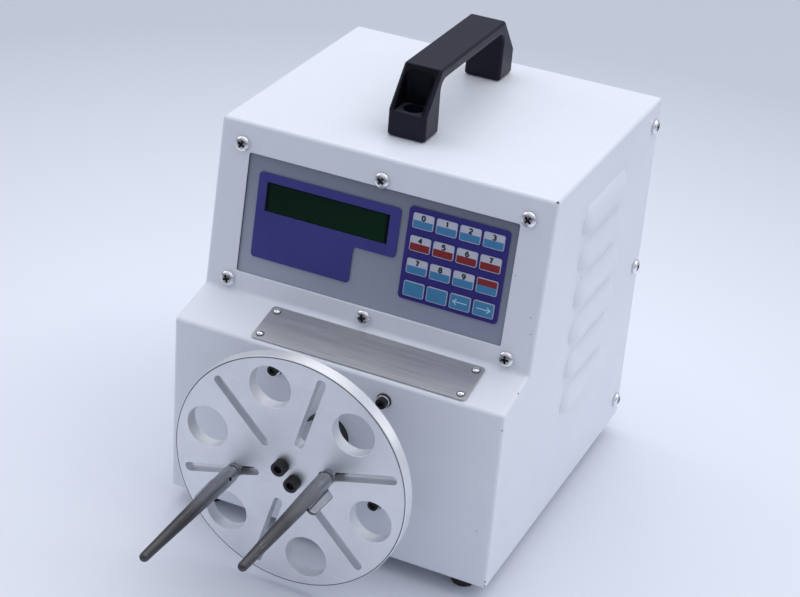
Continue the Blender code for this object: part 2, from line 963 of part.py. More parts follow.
def make_feet(root):
    recess_top = -base_height + foot_recess_depth
    recess = pan_head_radius + foot_recess_clearance
    hole = m4_radius + hole_clearance
    profile = [
        (foot_radius, -seat_gap),
        (foot_radius, -base_height + foot_shoulder),
        (foot_toe_radius, -base_height),
        (recess, -base_height),
        (recess, recess_top),
        (hole, recess_top),
        (hole, -seat_gap),
    ]
    mesh = turned(profile, small_steps)
    names = ("front_left", "rear_left", "front_right", "rear_right")
    for name, place in zip(names, foot_places()):
        add_piece(f"{name}_foot", mesh, "black_rubber", root, place, smooth=rubber_smooth_turn)


# The carry handle


def make_handle(root):
    back = handle_length
    foot = handle_foot
    under_bar = handle_height - handle_bar
    corners = [
        (0, 0, 0),
        (foot, 0, 0),
        (foot - handle_draft, under_bar, handle_arch_radius),
        (back - foot + handle_draft, under_bar, handle_arch_radius),
        (back - foot, 0, 0),
        (back, 0, 0),
        (back, handle_block_height, handle_corner_radius),
        (back - handle_slope, handle_height, handle_corner_radius),
        (handle_slope, handle_height, handle_corner_radius),
        (0, handle_block_height, handle_corner_radius),
    ]
    half = handle_width / 2
    body = moved(prism(rounded_outline(corners, handle_corner_steps), -half, half), across)
    place = (handle_offset, handle_front, case_height + seat_gap)
    handle = add_piece("carry_handle", body, "black_plastic", root, place, smooth=smooth_turn)
    add_bevel(handle, handle_edge_radius, edge_steps)
    inner = half - handle_pocket_wall
    low = (-inner, handle_pocket_front, handle_pocket_floor)
    pocket = box(low, (inner, handle_pocket_back, handle_height))
    bore = cylinder(handle_bore_radius, handle_seat, handle_height)
    hole = cylinder(m6_radius + hole_clearance, -overrun, handle_height, small_steps)
    bmesh.ops.translate(bore, vec=(0, handle_hole_inset, 0), verts=bore.verts)
    bmesh.ops.translate(hole, vec=(0, handle_hole_inset, 0), verts=hole.verts)
    around = Matrix.Translation((0, back, 0)) @ Matrix.Rotation(math.radians(half_turn), 4, "Z")
    ends = (Matrix(), around)
    cut(
        handle,
        add_tool("handle_pockets", copies(pocket, ends), root, place),
        add_tool("handle_bores", copies(bore, ends), root, place),
        add_tool("handle_through_holes", copies(hole, ends), root, place),
    )
    seat = case_height + seat_gap + handle_seat + seat_gap
    under_head = seat_gap + handle_seat + seat_gap + sheet + seat_gap
    screw = add_tool(
        "handle_screw", cap_screw(m6_radius, m6_cap_radius, m6_cap_height, handle_screw_length)
    )
    screw_nut = add_tool("handle_nut", nut(m6_radius, -under_head))
    join(screw, screw_nut)
    mesh = finished(screw, screw_nut)
    for name, place in zip(("front", "rear"), handle_hole_places(seat)):
        add_piece(f"{name}_handle_screw", mesh, "black_oxide", root, place)


# The control panel, drawn in the panel's axes: X across, Y up the slope, Z out of it


def key_places(height=0):
    """The key centres, row by row from the top left."""
    rows = [key_first_row - i * key_row_pitch for i in range(key_rows)]
    columns = [key_first_column + i * key_column_pitch for i in range(key_columns)]
    return [(x, y, height) for y in rows for x in columns]


def board_screw_places(height=0):
    inset = board_hole_inset
    xs = (board_left + inset, board_right - inset)
    return grid(xs, (board_low + inset, board_high - inset), height)


def display_outline(grow=0):
    return rounded_rectangle(
        display_left - grow, display_right + grow, display_low - grow, display_high + grow, 0
    )


def keypad_outline(shrink):
    return rounded_rectangle(
        keypad_left + shrink,
        keypad_right - shrink,
        keypad_low + shrink,
        keypad_high - shrink,
        overlay_corner if not shrink else 0,
    )


def make_panel_plate(panel):
    """The grey plate behind the window, with its screws and the board's standoffs joined on."""
    half = plate_width / 2
    outline = rounded_rectangle(-half, half, plate_low, plate_high, plate_corner)
    plate = add_piece("panel_plate", prism(outline, plate_back, plate_face), "grey_panel", panel)
    low, high = plate_back - overrun, plate_face + overrun
    cut(
        plate,
        add_tool("plate_display_hole", prism(display_outline(), low, high), panel),
        add_tool("plate_keypad_hole", prism(keypad_outline(keypad_lap), low, high), panel),
    )
    plate_middle = (plate_face + plate_back) / 2
    screws = copies(pan_screw(panel_screw_length), panel_screw_places(seat_gap))
    nuts = copies(nut(m4_radius, plate_middle), panel_screw_places())
    join(
        plate,
        add_tool("panel_screws", screws, panel),
        add_tool("panel_nuts", nuts, panel),
        add_tool("board_standoffs", board_standoffs(plate_middle), panel),
    )


def board_standoffs(top):
    """Four standoffs that hold the control board, each with the head of its screw."""
    front = -board_depth + seat_gap
    back = -board_depth - board_thickness - seat_gap
    profile = [
        (0, top),
        (standoff_radius, top),
        (standoff_radius, front),
        (m3_radius, front),
        (m3_radius, back),
        (m3_head_radius, back),
        (m3_head_radius, back - m3_head_height),
        (0, back - m3_head_height),
    ]
    return copies(turned(profile, coarse_steps), board_screw_places())


def make_function_label(panel):
    corners = [
        (label_left, label_low),
        (label_step_right, label_low),
        (label_step_right, label_step_height),
        (label_right, label_step_height),
        (label_right, label_high),
        (label_left, label_high),
    ]
    outline = rounded_outline([(x, y, overlay_corner) for x, y in corners])
    label = add_piece(
        "function_label", prism(outline, overlay_back, overlay_face), "violet_print", panel
    )
    hole = prism(display_outline(), overlay_back - overrun, overlay_face + overrun)
    cut(label, add_tool("label_display_hole", hole, panel))


def make_display(panel):
    front = overlay_face - display_recess
    glass = prism(display_outline(-seat_gap), plate_back, front)
    add_piece("display_window", glass, "display_glass", panel)
    margin = module_margin
    face = plate_back - seat_gap
    low = (display_left - margin, display_low - margin, face - module_thickness)
    high = (display_right + margin, display_high + margin, face)
    add_piece("display_module", box(low, high), "module_metal", panel)


def make_keypad(panel):
    overlay = add_piece(
        "keypad_overlay", prism(keypad_outline(0), overlay_back, overlay_face), "violet_print", panel
    )
    gap = seat_gap
    half_width, half_height = key_width / 2, key_height / 2
    opening = rounded_rectangle(
        -half_width - gap,
        half_width + gap,
        -half_height - gap,
        half_height + gap,
        key_corner,
        tight_corner_steps,
    )
    hole = prism(opening, overlay_back - overrun, overlay_face + overrun)
    cut(overlay, add_tool("key_openings", copies(hole, key_places()), panel))
    mesh = key_mesh()
    for i, place in enumerate(key_places()):
        row, column = divmod(i, key_columns)
        add_piece(f"key_row_{row + 1}_column_{column + 1}", mesh, "key_print", panel, place)


def key_mesh():
    """A key cap with a flange behind the overlay and a stem behind the flange."""
    half_width, half_height = key_width / 2, key_height / 2
    flange_face = overlay_back - seat_gap
    flange_back = flange_face - key_flange_thickness
    inside = (flange_face + flange_back) / 2
    outline = rounded_rectangle(
        -half_width, half_width, -half_height, half_height, key_corner, tight_corner_steps
    )
    cap = prism(outline, inside, overlay_face + key_proud)
    wide, tall = half_width + key_flange, half_height + key_flange
    flange = box((-wide, -tall, flange_back), (wide, tall, flange_face))
    stem = cylinder(key_stem_radius, key_stem_end, inside, coarse_steps)
    body = add_tool("key_body", cap)
    tools = [add_tool("key_flange", flange), add_tool("key_stem", stem)]
    join(body, *tools)
    return finished(body, *tools)


def make_control_board(panel):
    """The board behind the plate, with its key switches in front and its chips behind."""
    front, back = -board_depth, -board_depth - board_thickness
    inside = (front + back) / 2
    board = box((board_left, board_low, back), (board_right, board_high, front))
    half = switch_size / 2
    switch = box((-half, -half, inside), (half, half, switch_top))
    chip = box((0, 0, back - chip_height), (chip_length, chip_width, inside))
    chips = [
        (board_left + chip_first + i * chip_pitch, board_low + chip_width, 0)
        for i in range(chip_count)
    ]
    plug_left = board_left + connector_first
    plug_low = board_high - connector_width - board_hole_inset
    plug = box(
        (plug_left, plug_low, back - connector_height),
        (plug_left + connector_length, plug_low + connector_width, inside),
    )
    piece = add_piece("control_board", board, "circuit_board", panel)
    join(
        piece,
        add_tool("key_switches", copies(switch, key_places()), panel),
        add_tool("board_chips", copies(chip, chips), panel),
        add_tool("board_connector", plug, panel),
    )
    hole = cylinder(m3_radius + seat_gap, back - overrun, front + overrun, small_steps)
    cut(piece, add_tool("board_holes", copies(hole, board_screw_places()), panel))


def make_nameplate(shelf):
    """A bare plate on the shelf, with its four rivets joined to it."""
    outline = rounded_rectangle(
        nameplate_left, nameplate_right, nameplate_low, nameplate_high, nameplate_corner
    )
    top = seat_gap + nameplate_thickness
    plate = add_piece("nameplate", prism(outline, seat_gap, top), "brushed_steel", shelf)
    sunk = -nameplate_thickness / 2
    profile = domed_head(rivet_head_radius, rivet_head_height, rivet_edge_height)
    profile += [
        (rivet_head_radius, sunk),
        (m3_radius, sunk),
        (m3_radius, -rivet_length),
        (0, -rivet_length),
    ]
    rivets = copies(turned(profile, fastener_steps), nameplate_hole_places(top))
    join(plate, add_tool("nameplate_rivets", rivets, shelf))


# The motor, drawn in the front's axes: X across, Y up, Z out of the front along the spindle


def motor_block(low, high):
    half = motor_size / 2
    return prism(rounded_rectangle(-half, half, -half, half, motor_corner), low, high)


def bearing_pocket(face, opening, steps=round_steps):
    """The hole that a bearing drops into from its opening."""
    back = face - bearing_width - seat_gap
    return cylinder(bearing_radius + seat_gap, back, opening, steps)


def make_motor(front):
    make_front_bell(front)
    stator = add_piece("motor_stator", motor_block(stator_back, stator_front), "core_steel", front)
    bore = cylinder(
        rotor_radius + air_gap, stator_back - overrun, stator_front + overrun, fine_steps
    )
    cut(stator, add_tool("stator_bore", bore, front))
    rear_bell = add_piece(
        "motor_rear_bell", motor_block(rear_bell_back, rear_bell_front), "black_oxide", front
    )
    tail = cylinder(
        spindle_radius + spindle_clearance, rear_bell_back + rear_bell_wall, rear_bell_front
    )
    pocket = bearing_pocket(rear_bearing_face, rear_bell_front + overrun)
    cut(
        rear_bell,
        add_tool("rear_pocket", pocket, front),
        add_tool("rear_tail_room", tail, front),
    )
    mesh = bearing()
    for name, face in (("front", front_bearing_face), ("rear", rear_bearing_face)):
        add_piece(f"{name}_bearing", mesh, "bearing_steel", front, (0, 0, face))


def make_front_bell(front):
    """The motor's front plate and boss, with the four screws and washers joined to it."""
    back, face = motor_front - motor_flange, motor_front
    middle_of_flange = (back + face) / 2
    block = motor_block(back, face)
    bell = add_piece("motor_front_bell", block, "black_oxide", front, smooth=smooth_turn)
    boss = cylinder(motor_boss_radius, middle_of_flange, motor_boss_height)
    join(bell, add_tool("bell_boss", boss, front))
    through = cylinder(
        spindle_radius + spindle_clearance, back - overrun, motor_boss_height
    )
    pocket = bearing_pocket(front_bearing_face, motor_boss_height + overrun)
    cut(
        bell,
        add_tool("front_pocket", pocket, front),
        add_tool("front_through", through, front),
    )
    washer = (motor_washer_radius, motor_washer_thickness)
    screw = cap_screw(m4_radius, m4_cap_radius, m4_cap_height, motor_screw_length, washer)
    places = motor_screw_places(seat_gap + motor_washer_thickness)
    join(bell, add_tool("motor_screws", copies(screw, places), front))


def bearing():
    """A ball bearing, with its shields sunk between the two races. Its face is at Z = 0."""
    outer, inner = bearing_radius, spindle_radius + seat_gap
    step, back = bearing_shield_step, -bearing_width
    profile = [
        (outer, 0),
        (outer, back),
        (inner, back),
        (inner, 0),
        (inner + bearing_race, 0),
        (inner + bearing_race, -step),
        (outer - bearing_race, -step),
        (outer - bearing_race, 0),
    ]
    return turned(profile, small_steps)


# The turning head: rotor, spindle, hub and disc


def make_head(head):
    top = hub_back + hub_bore_depth - seat_gap
    edge = spindle_chamfer
    spindle = [
        (0, top),
        (spindle_radius - edge, top),
        (spindle_radius, top - edge),
        (spindle_radius, spindle_end + edge),
        (spindle_radius - edge, spindle_end),
        (0, spindle_end),
    ]
    add_piece("spindle", turned(spindle), "bright_steel", head, smooth=smooth_turn)
    rotor_front = stator_front - (stator_length - rotor_length) / 2
    rotor = turned_ring(
        rotor_radius, spindle_radius + seat_gap, rotor_front - rotor_length, rotor_front
    )
    add_piece("rotor", rotor, "core_steel", head, smooth=smooth_turn)
    make_hub(head)
    make_disc(head)


def disc_screw_places(height=0):
    turns = (disc_screw_turn, disc_screw_turn + half_turn)
    return [polar(disc_screw_circle, turn, height) for turn in turns]


def make_hub(head):
    bore = spindle_radius + seat_gap
    bore_end = hub_back + hub_bore_depth
    edge = hub_chamfer
    profile = [
        (0, hub_face),
        (hub_radius - edge, hub_face),
        (hub_radius, hub_face - edge),
        (hub_radius, hub_back + edge),
        (hub_radius - edge, hub_back),
        (bore, hub_back),
        (bore, bore_end),
        (0, bore_end),
    ]
    hub = add_piece("disc_hub", turned(profile), "satin_aluminium", head, smooth=smooth_turn)
    screw_seat = disc_face + seat_gap
    hole_end = screw_seat - disc_screw_length - seat_gap
    hole = cylinder(m5_radius + seat_gap, hole_end, hub_face + overrun, small_steps)
    socket_out = Matrix.Translation((0, 0, hub_back + hub_grub_place)) @ towards_x
    hexagon = ring_points(hub_grub_radius * hex_socket_share, hexagon_sides)
    socket = prism(hexagon, hub_radius - hub_grub_radius, hub_radius + overrun)
    cut(
        hub,
        add_tool("hub_screw_holes", copies(hole, disc_screw_places()), head),
        add_tool("hub_grub_socket", moved(socket, socket_out), head),
    )
    mesh = cap_screw(m5_radius, m5_cap_radius, m5_cap_height, disc_screw_length)
    for name, place in zip(("upper", "lower"), disc_screw_places(screw_seat)):
        add_piece(f"{name}_disc_screw", mesh, "black_oxide", head, place)


def make_disc(head):
    edge = disc_chamfer
    profile = [
        (0, disc_face),
        (disc_radius - edge, disc_face),
        (disc_radius, disc_face - edge),
        (disc_radius, disc_back + edge),
        (disc_radius - edge, disc_back),
        (0, disc_back),
    ]
    plate = turned(profile, disc_steps)
    disc = add_piece("winding_disc", plate, "satin_aluminium", head, smooth=smooth_turn)
    low, high = disc_back - overrun, disc_face + overrun
    slot = prism(stadium(slot_inner, slot_outer, slot_width), low, high)
    hole = cylinder(disc_hole_radius, low, high, hole_steps)
    screw_hole = cylinder(m5_radius + hole_clearance, low, high, small_steps)
    step = full_turn / disc_pattern_count
    slots, holes = [], []
    for i in range(disc_pattern_count):
        slots.append(Matrix.Rotation(math.radians(disc_slot_turn + i * step), 4, "Z"))
        holes.append(polar(disc_hole_circle, disc_hole_turn + i * step))
    cut(
        disc,
        add_tool("disc_slots", copies(slot, slots), head),
        add_tool("disc_holes", copies(hole, holes), head),
        add_tool("disc_screw_holes", copies(screw_hole, disc_screw_places()), head),
    )


# A winding finger and its clamp: X towards the lever, Z away from the disc


def make_arm(side, head, circle, slot_turn, lever_turn):
    place = polar(circle, slot_turn, disc_face)
    slider = make_frame(f"{side}_slider_frame", head, place, (0, 0, math.radians(slot_turn)))
    make_slider(side, slider)
    turn = math.radians(lever_turn - slot_turn)
    arm = make_frame(f"{side}_arm_frame", slider, rotation=(0, 0, turn))
    make_stud(side, arm)
    make_finger(side, arm)
    pivot = (lever_pivot_out, 0, lever_pivot_height)
    hinge = make_frame(f"{side}_lever_frame", arm, pivot)
    make_lever(side, hinge)


def make_slider(side, slider):
    """The nut behind the disc and the friction washer in front of it."""
    half_length, half_width = slot_nut_length / 2, slot_nut_width / 2
    outline = rounded_rectangle(
        -half_length, half_length, -half_width, half_width, slot_nut_corner, tight_corner_steps
    )
    top = -disc_thickness - seat_gap
    low = top - slot_nut_thickness
    nut_piece = add_piece(f"{side}_slot_nut", prism(outline, low, top), "zinc_plate", slider)
    bore = cylinder(stud_radius + seat_gap, low - overrun, top + overrun, small_steps)
    cut(nut_piece, add_tool(f"{side}_slot_nut_bore", bore, slider))
    washer = turned_ring(
        washer_radius, stud_radius + seat_gap, seat_gap, seat_gap + washer_thickness
    )
    add_piece(f"{side}_friction_washer", washer, "black_plastic", slider, smooth=smooth_turn)


def make_stud(side, arm):
    """The stud through the slot, with a fork on top that holds the lever's pin."""
    nut_back = -disc_thickness - seat_gap - slot_nut_thickness
    head_top = nut_back - seat_gap
    head_low = head_top - stud_head_height
    profile = [
        (0, fork_height),
        (fork_radius, fork_height),
        (fork_radius, collar_top),
        (collar_radius, collar_top),
        (collar_radius, collar_low),
        (stud_radius, collar_low),
        (stud_radius, head_top),
        (stud_head_radius, head_top),
        (stud_head_radius, head_low),
        (0, head_low),
    ]
    blank = turned(profile, stud_steps)
    stud = add_piece(f"{side}_stud", blank, "bright_steel", arm, smooth=smooth_turn)
    half_slot = lever_thickness / 2 + fork_slack
    wide = fork_radius + overrun
    slot = box((-wide, -half_slot, collar_top), (wide, half_slot, fork_height + overrun))
    hole = cylinder(lever_pin_radius + seat_gap, -wide, wide, small_steps)
    place = (lever_pivot_out, 0, lever_pivot_height)
    cut(
        stud,
        add_tool(f"{side}_fork_slot", slot, arm),
        add_tool(f"{side}_pin_hole", moved(hole, upright), arm, place),
    )


def make_finger(side, arm):
    """A tapered finger, bored for the fork and grooved for the lever."""
    tip_centre = finger_reach - finger_tip_radius
    bore = fork_radius + finger_bore_clearance
    crown = arc((0, tip_centre), finger_tip_radius, quarter_turn, 0, finger_tip_steps)
    profile = [(0, finger_reach)] + crown[1:]
    profile += [
        (finger_base_radius, finger_base + finger_straight),
        (finger_base_radius, finger_base + finger_chamfer),
        (finger_base_radius - finger_chamfer, finger_base),
        (bore, finger_base),
        (bore, finger_bore_end),
        (0, finger_bore_end + finger_bore_cone),
    ]
    blank = turned(profile, fine_steps)
    finger = add_piece(f"{side}_winding_finger", blank, "gunmetal", arm, smooth=smooth_turn)
    floor = lever_inner - finger_groove_slack
    far = finger_base_radius + overrun
    corners = [
        (floor, finger_base - overrun, 0),
        (far, finger_base - overrun, 0),
        (far, finger_groove_end, 0),
        (floor, finger_groove_end, finger_groove_radius),
    ]
    half = lever_thickness / 2 + finger_groove_slack
    groove = moved(prism(rounded_outline(corners), -half, half), upright)
    hole = cylinder(finger_hole_radius, 0, far, small_steps)
    outwards = Matrix.Translation((0, 0, finger_hole_height)) @ towards_x.inverted()
    cut(
        finger,
        add_tool(f"{side}_groove", groove, arm),
        add_tool(f"{side}_back_hole", moved(hole, outwards), arm),
    )


def make_lever(side, hinge):
    """A flat cam lever. Its outline is drawn about its pivot: outwards, and up the finger."""
    inner = lever_inner - lever_pivot_out
    corner_out = lever_corner_out - lever_pivot_out
    knuckle = (lever_knuckle_out - lever_pivot_out, lever_knuckle_height - lever_pivot_height)
    nose = (lever_nose_out - lever_pivot_out, lever_nose_height - lever_pivot_height)
    heel_top = math.degrees(math.acos(inner / lever_heel_radius))
    radius = lever_corner_radius
    corner = (corner_out - radius, lever_corner_height - lever_pivot_height + radius)
    outline = [(inner, lever_shoulder)]
    outline += arc((0, 0), lever_heel_radius, heel_top, lever_heel_end, lever_heel_steps)
    outline.append(knuckle)
    outline += arc(corner, radius, lever_corner_start, 0, lever_corner_steps)
    outline += arc(nose, lever_nose_radius, lever_nose_start, lever_nose_end, lever_nose_steps)
    half = lever_thickness / 2
    plate = moved(prism(outline, -half, half), upright)
    lever = add_piece(f"{side}_release_lever", plate, "gunmetal", hinge)
    wide = half + overrun
    hole = moved(cylinder(lever_pin_radius + seat_gap, -wide, wide, small_steps), upright)
    cut(lever, add_tool(f"{side}_lever_hole", hole, hinge))
    reach = lever_pivot_out + lever_pin_radius
    end = math.sqrt(fork_radius * fork_radius - reach * reach)
    pin = moved(cylinder(lever_pin_radius, -end, end, small_steps), upright)
    add_piece(f"{side}_lever_pin", pin, "bright_steel", hinge)


# Fittings in the rear panel, drawn in its axes seen from behind: X right, Y up, Z out of it


def make_inlet(rear):
    """A mains inlet with three blades. One solid, snapped into the rear panel."""
    place = (inlet_right, inlet_height, 0)
    half_width, half_height = inlet_width / 2, inlet_body_height / 2
    body = prism(
        rounded_rectangle(-half_width, half_width, -half_height, half_height, inlet_corner),
        -inlet_depth,
        seat_gap + inlet_flange / 2,
    )
    wide, tall = half_width + inlet_rim, half_height + inlet_rim
    flange = prism(
        rounded_rectangle(-wide, wide, -tall, tall, inlet_corner),
        seat_gap,
        seat_gap + inlet_flange,
    )
    half_socket, half_mouth = socket_width / 2, socket_height / 2
    chamfer = socket_corner
    mouth = [
        (-half_socket, -half_mouth),
        (half_socket, -half_mouth),
        (half_socket, half_mouth - chamfer),
        (half_socket - chamfer, half_mouth),
        (-half_socket + chamfer, half_mouth),
        (-half_socket, half_mouth - chamfer),
    ]
    face = seat_gap + inlet_flange
    socket = prism(mouth, face - socket_depth, face + overrun)
    floor = face - socket_depth
    half_blade, half_edge = blade_width / 2, blade_thickness / 2
    blade = box(
        (-half_edge, -half_blade, floor - overrun),
        (half_edge, half_blade, floor + blade_length),
    )
    blades = [
        (-blade_spacing, -blade_line_drop, 0),
        (0, blade_earth_rise, 0),
        (blade_spacing, -blade_line_drop, 0),
    ]
    inlet = add_piece("power_inlet", body, "black_plastic", rear, place, smooth=smooth_turn)
    join(inlet, add_tool("inlet_flange", flange, rear, place))
    cut(inlet, add_tool("inlet_socket", socket, rear, place))
    join(inlet, add_tool("inlet_blades", copies(blade, blades), rear, place))


def make_switch(rear):
    """The power switch: a snapped-in housing with a rocker that tips on its middle."""
    place = (switch_right, inlet_height, 0)
    half_width, half_height = switch_width / 2, switch_body_height / 2
    body = prism(
        rounded_rectangle(
            -half_width, half_width, -half_height, half_height, switch_corner, tight_corner_steps
        ),
        -switch_depth,
        seat_gap + switch_flange / 2,
    )
    wide, tall = half_width + switch_rim, half_height + switch_rim
    flange = prism(
        rounded_rectangle(-wide, wide, -tall, tall, switch_rim / 2, window_corner_steps),
        seat_gap,
        seat_gap + switch_flange,
    )
    cavity_wide = rocker_width / 2 + rocker_side_gap
    cavity_tall = rocker_height / 2 + rocker_end_gap
    face = seat_gap + switch_flange
    cavity = box(
        (-cavity_wide, -cavity_tall, face - switch_cavity_depth),
        (cavity_wide, cavity_tall, face + overrun),
    )
    housing = add_piece("switch_housing", body, "black_plastic", rear, place)
    join(housing, add_tool("switch_flange", flange, rear, place))
    cut(housing, add_tool("switch_cavity", cavity, rear, place))
    half = rocker_height / 2
    outline = [
        (-half, -rocker_body / 2),
        (-half / 2, -rocker_body),
        (half / 2, -rocker_body),
        (half, -rocker_body / 2),
        (half, rocker_rise),
        (0, rocker_valley),
        (-half, rocker_rise),
    ]
    thick = rocker_width / 2
    rocker = moved(prism(outline, -thick, thick), across)
    pivot = (switch_right, inlet_height, seat_gap)
    add_piece("switch_rocker", rocker, "black_plastic", rear, pivot, (rocker_angle, 0, 0))


def supply_screw_places(height=0):
    inset = supply_screw_inset
    xs = (supply_left + inset, supply_left + supply_width - inset)
    return grid(xs, (supply_front + inset, supply_front + supply_depth - inset), height)


def make_power_supply(root):
    """An enclosed power supply with an open terminal deck along its right end."""
    low = base_top + seat_gap
    high = low + supply_height
    right = supply_left + supply_width
    back = supply_front + supply_depth
    case = box((supply_left, supply_front, low), (right, back, high))
    supply = add_piece("power_supply", case, "zinc_plate", root)
    add_bevel(supply, supply_corner)
    wall = supply_corner + supply_corner
    deck_left, deck_low = right - supply_terminal_depth, high - supply_terminal_height
    deck = box(
        (deck_left, supply_front + wall, deck_low), (right + overrun, back - wall, high + overrun)
    )
    head = base_low - seat_gap
    profile = [
        (0, low + supply_screw_length / 2),
        (m3_radius, low + supply_screw_length / 2),
        (m3_radius, head),
        (m3_head_radius, head),
        (m3_head_radius, head - m3_head_height),
        (0, head - m3_head_height),
    ]
    cut(supply, add_tool("terminal_deck", deck, root))
    screws = copies(turned(profile, coarse_steps), supply_screw_places())
    join(supply, add_tool("supply_screws", screws, root))


def build_machine():
    """Builds the whole machine, standing on Z = 0 with its middle on the origin."""
    quarter = math.radians(quarter_turn)
    root = make_frame("machine_frame", None, (0, -middle, base_height))
    shelf = make_frame("shelf_frame", root, (0, 0, front_height), (shelf_turn, 0, 0))
    panel_foot = (0, shelf_depth, front_height + shelf_rise)
    panel = make_frame("panel_frame", root, panel_foot, (panel_turn, 0, 0))
    spindle_axis = (spindle_x, 0, spindle_height)
    front = make_frame("front_frame", root, spindle_axis, (quarter, 0, 0))
    head = make_frame("head_frame", root, spindle_axis, (quarter, 0, 0))
    rear = make_frame("rear_frame", root, (0, rear_face, 0), (quarter, 0, quarter + quarter))
    make_main_cover(root, shelf, panel, front)
    make_rear_panel(root, rear)
    make_base(root)
    make_feet(root)
    make_handle(root)
    make_panel_plate(panel)
    make_function_label(panel)
    make_display(panel)
    make_keypad(panel)
    make_control_board(panel)
    make_nameplate(shelf)
    make_motor(front)
    make_head(head)
    make_arm("left", head, left_circle, left_slot_turn, left_lever_turn)
    make_arm("right", head, right_circle, right_slot_turn, right_lever_turn)
    make_inlet(rear)
    make_switch(rear)
    make_power_supply(root)


clear_scene()
make_collections()
make_materials()
build_machine()
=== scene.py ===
"""The looks of a tabletop wire coiling machine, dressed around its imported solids.

A white powder-coated case carries a control panel, a nameplate and a carry handle. A slotted disc
with two tapered winding fingers turns in front of it. Pieces are drawn in the axes of what carries
them: the case, the shelf, the sloped panel, the front, the rear panel, and each moving body.
"""

import json
import math

import bmesh
import bpy
from mathutils import Matrix, Vector


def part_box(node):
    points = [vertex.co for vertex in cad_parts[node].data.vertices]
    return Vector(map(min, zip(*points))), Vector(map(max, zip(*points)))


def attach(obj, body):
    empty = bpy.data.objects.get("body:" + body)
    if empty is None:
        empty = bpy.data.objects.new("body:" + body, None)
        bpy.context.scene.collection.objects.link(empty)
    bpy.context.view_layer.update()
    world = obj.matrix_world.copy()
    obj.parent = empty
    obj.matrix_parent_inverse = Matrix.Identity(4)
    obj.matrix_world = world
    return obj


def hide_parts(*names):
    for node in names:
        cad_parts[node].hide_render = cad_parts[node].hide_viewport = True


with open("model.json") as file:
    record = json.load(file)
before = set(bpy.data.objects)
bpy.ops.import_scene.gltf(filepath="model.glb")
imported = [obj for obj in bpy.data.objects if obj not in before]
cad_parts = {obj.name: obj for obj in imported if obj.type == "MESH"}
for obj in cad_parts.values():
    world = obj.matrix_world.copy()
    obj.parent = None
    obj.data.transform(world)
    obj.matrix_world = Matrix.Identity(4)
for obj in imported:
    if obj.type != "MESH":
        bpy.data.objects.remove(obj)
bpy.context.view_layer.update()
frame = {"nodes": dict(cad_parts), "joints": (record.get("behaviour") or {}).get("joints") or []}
joints = {joint["name"]: joint for joint in frame["joints"]}
cover_low, cover_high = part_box("main_cover")

# The case
seat_gap = 0.0003
face_room = 0.00005
least_radius = 0.00005
merge_distance = 0.000001
overrun = 0.002
sheet = 0.0012
case_width = 0.200
case_depth = cover_high.y - cover_low.y
case_height = cover_high.z - cover_low.z
front_height = 0.112
shelf_depth = 0.0333
shelf_rise = 0.0078
panel_setback = 0.0147
panel_rise = case_height - front_height - shelf_rise
bend_radius = 0.0022
bottom_flange = 0.029
sheet_edge = 0.00035
wall_most_up = 0.3
wall_most_back = 0.5
rear_flange = 0.012
rear_bend = 0.0015
foot_side_inset = 0.0190
foot_end_inset = 0.016
hole_flare = 0.0001
base_top = 0.0030

# Louvres
louvre_count = 6
louvre_straight = 0.050
louvre_end = 0.0105
louvre_height = 0.0135
louvre_throw = 0.0036
louvre_sink = 0.00006
louvre_pitch = 0.0231
louvre_low_lip = 0.0655
louvre_middle = 0.1293
louvre_blend = 0.75
louvre_columns = 14
louvre_rings = 12

# Screws and rivets
m3_radius = 0.0015
m4_radius = 0.0020
m5_radius = 0.0025
m6_radius = 0.0030
hole_clearance = 0.0004
pan_head_radius = 0.0044
pan_head_height = 0.0026
pan_edge_height = 0.0009
cross_reach = 0.0025
cross_wing = 0.00062
cross_depth = 0.0017
cross_floor_share = 0.5
cross_wing_floor_share = 0.85
cross_flare_share = 0.45
cross_wing_flare_share = 0.3
cross_wall_share = 1.3
cross_wall_skin = 0.00012
pan_edge = 0.00008
# A plated head's painted dark reflection, from its outer to its inner radius
dark_reflection_outer = 0.0036
dark_reflection_inner = 0.0020
dark_reflection_ragged = 0.0008
rivet_radius = 0.0021
rivet_seam = 0.00035
rivet_height = 0.0014
rivet_edge = 0.0002
rivet_foot = 0.00006
rivet_seam_rise = 0.00004
rivet_seam_share = 0.97
rivet_length = 0.003
hex_share = 0.58
socket_share = 0.55
socket_rim_low = 0.6
socket_rim_high = 0.4
cap_edge_share = 0.1
nut_share = 1.95
washer_radius = 0.0043
washer_thickness = 0.0008
washer_edge = 0.00015
spring_washer_radius = 0.0038
spring_washer_top = 0.0022
motor_cap_radius = 0.0031
motor_cap_top = 0.0050
motor_screw_length = 0.0120
handle_cap_radius = 0.0050
handle_cap_height = 0.0060
handle_screw_length = 0.0120
disc_cap_radius = 0.00425
disc_cap_height = 0.0050
disc_screw_length = 0.0160
disc_cap_turns = (18, 47)
side_nut_height = 0.0032
side_nut_edge = 0.0002
pan_screw_length = 0.0075
side_screw_inset = 0.0075
side_screw_turns = (31, 53)
side_screw_heights = (0.0148, 0.1097, 0.2024)

# Carry handle
handle_length = 0.126
handle_width = 0.023
handle_height = 0.0375
handle_offset = -0.001
handle_front = 0.075
handle_foot = 0.019
handle_draft = 0.001
handle_block_height = 0.0157
handle_slope = 0.0175
handle_bar = 0.0070
handle_arch_radius = 0.0060
handle_corner_radius = 0.0018
handle_edge_radius = 0.0018
handle_pocket_wall = 0.0034
handle_pocket_flare = 0.0012
handle_pocket_corner = 0.0030
handle_pocket_back = 0.0146
handle_pocket_floor = 0.0152
handle_bore_radius = 0.0060
handle_hole_inset = 0.0085
handle_seat = 0.0040
handle_nut_room = 0.0010
handle_cut_edge = 0.0004

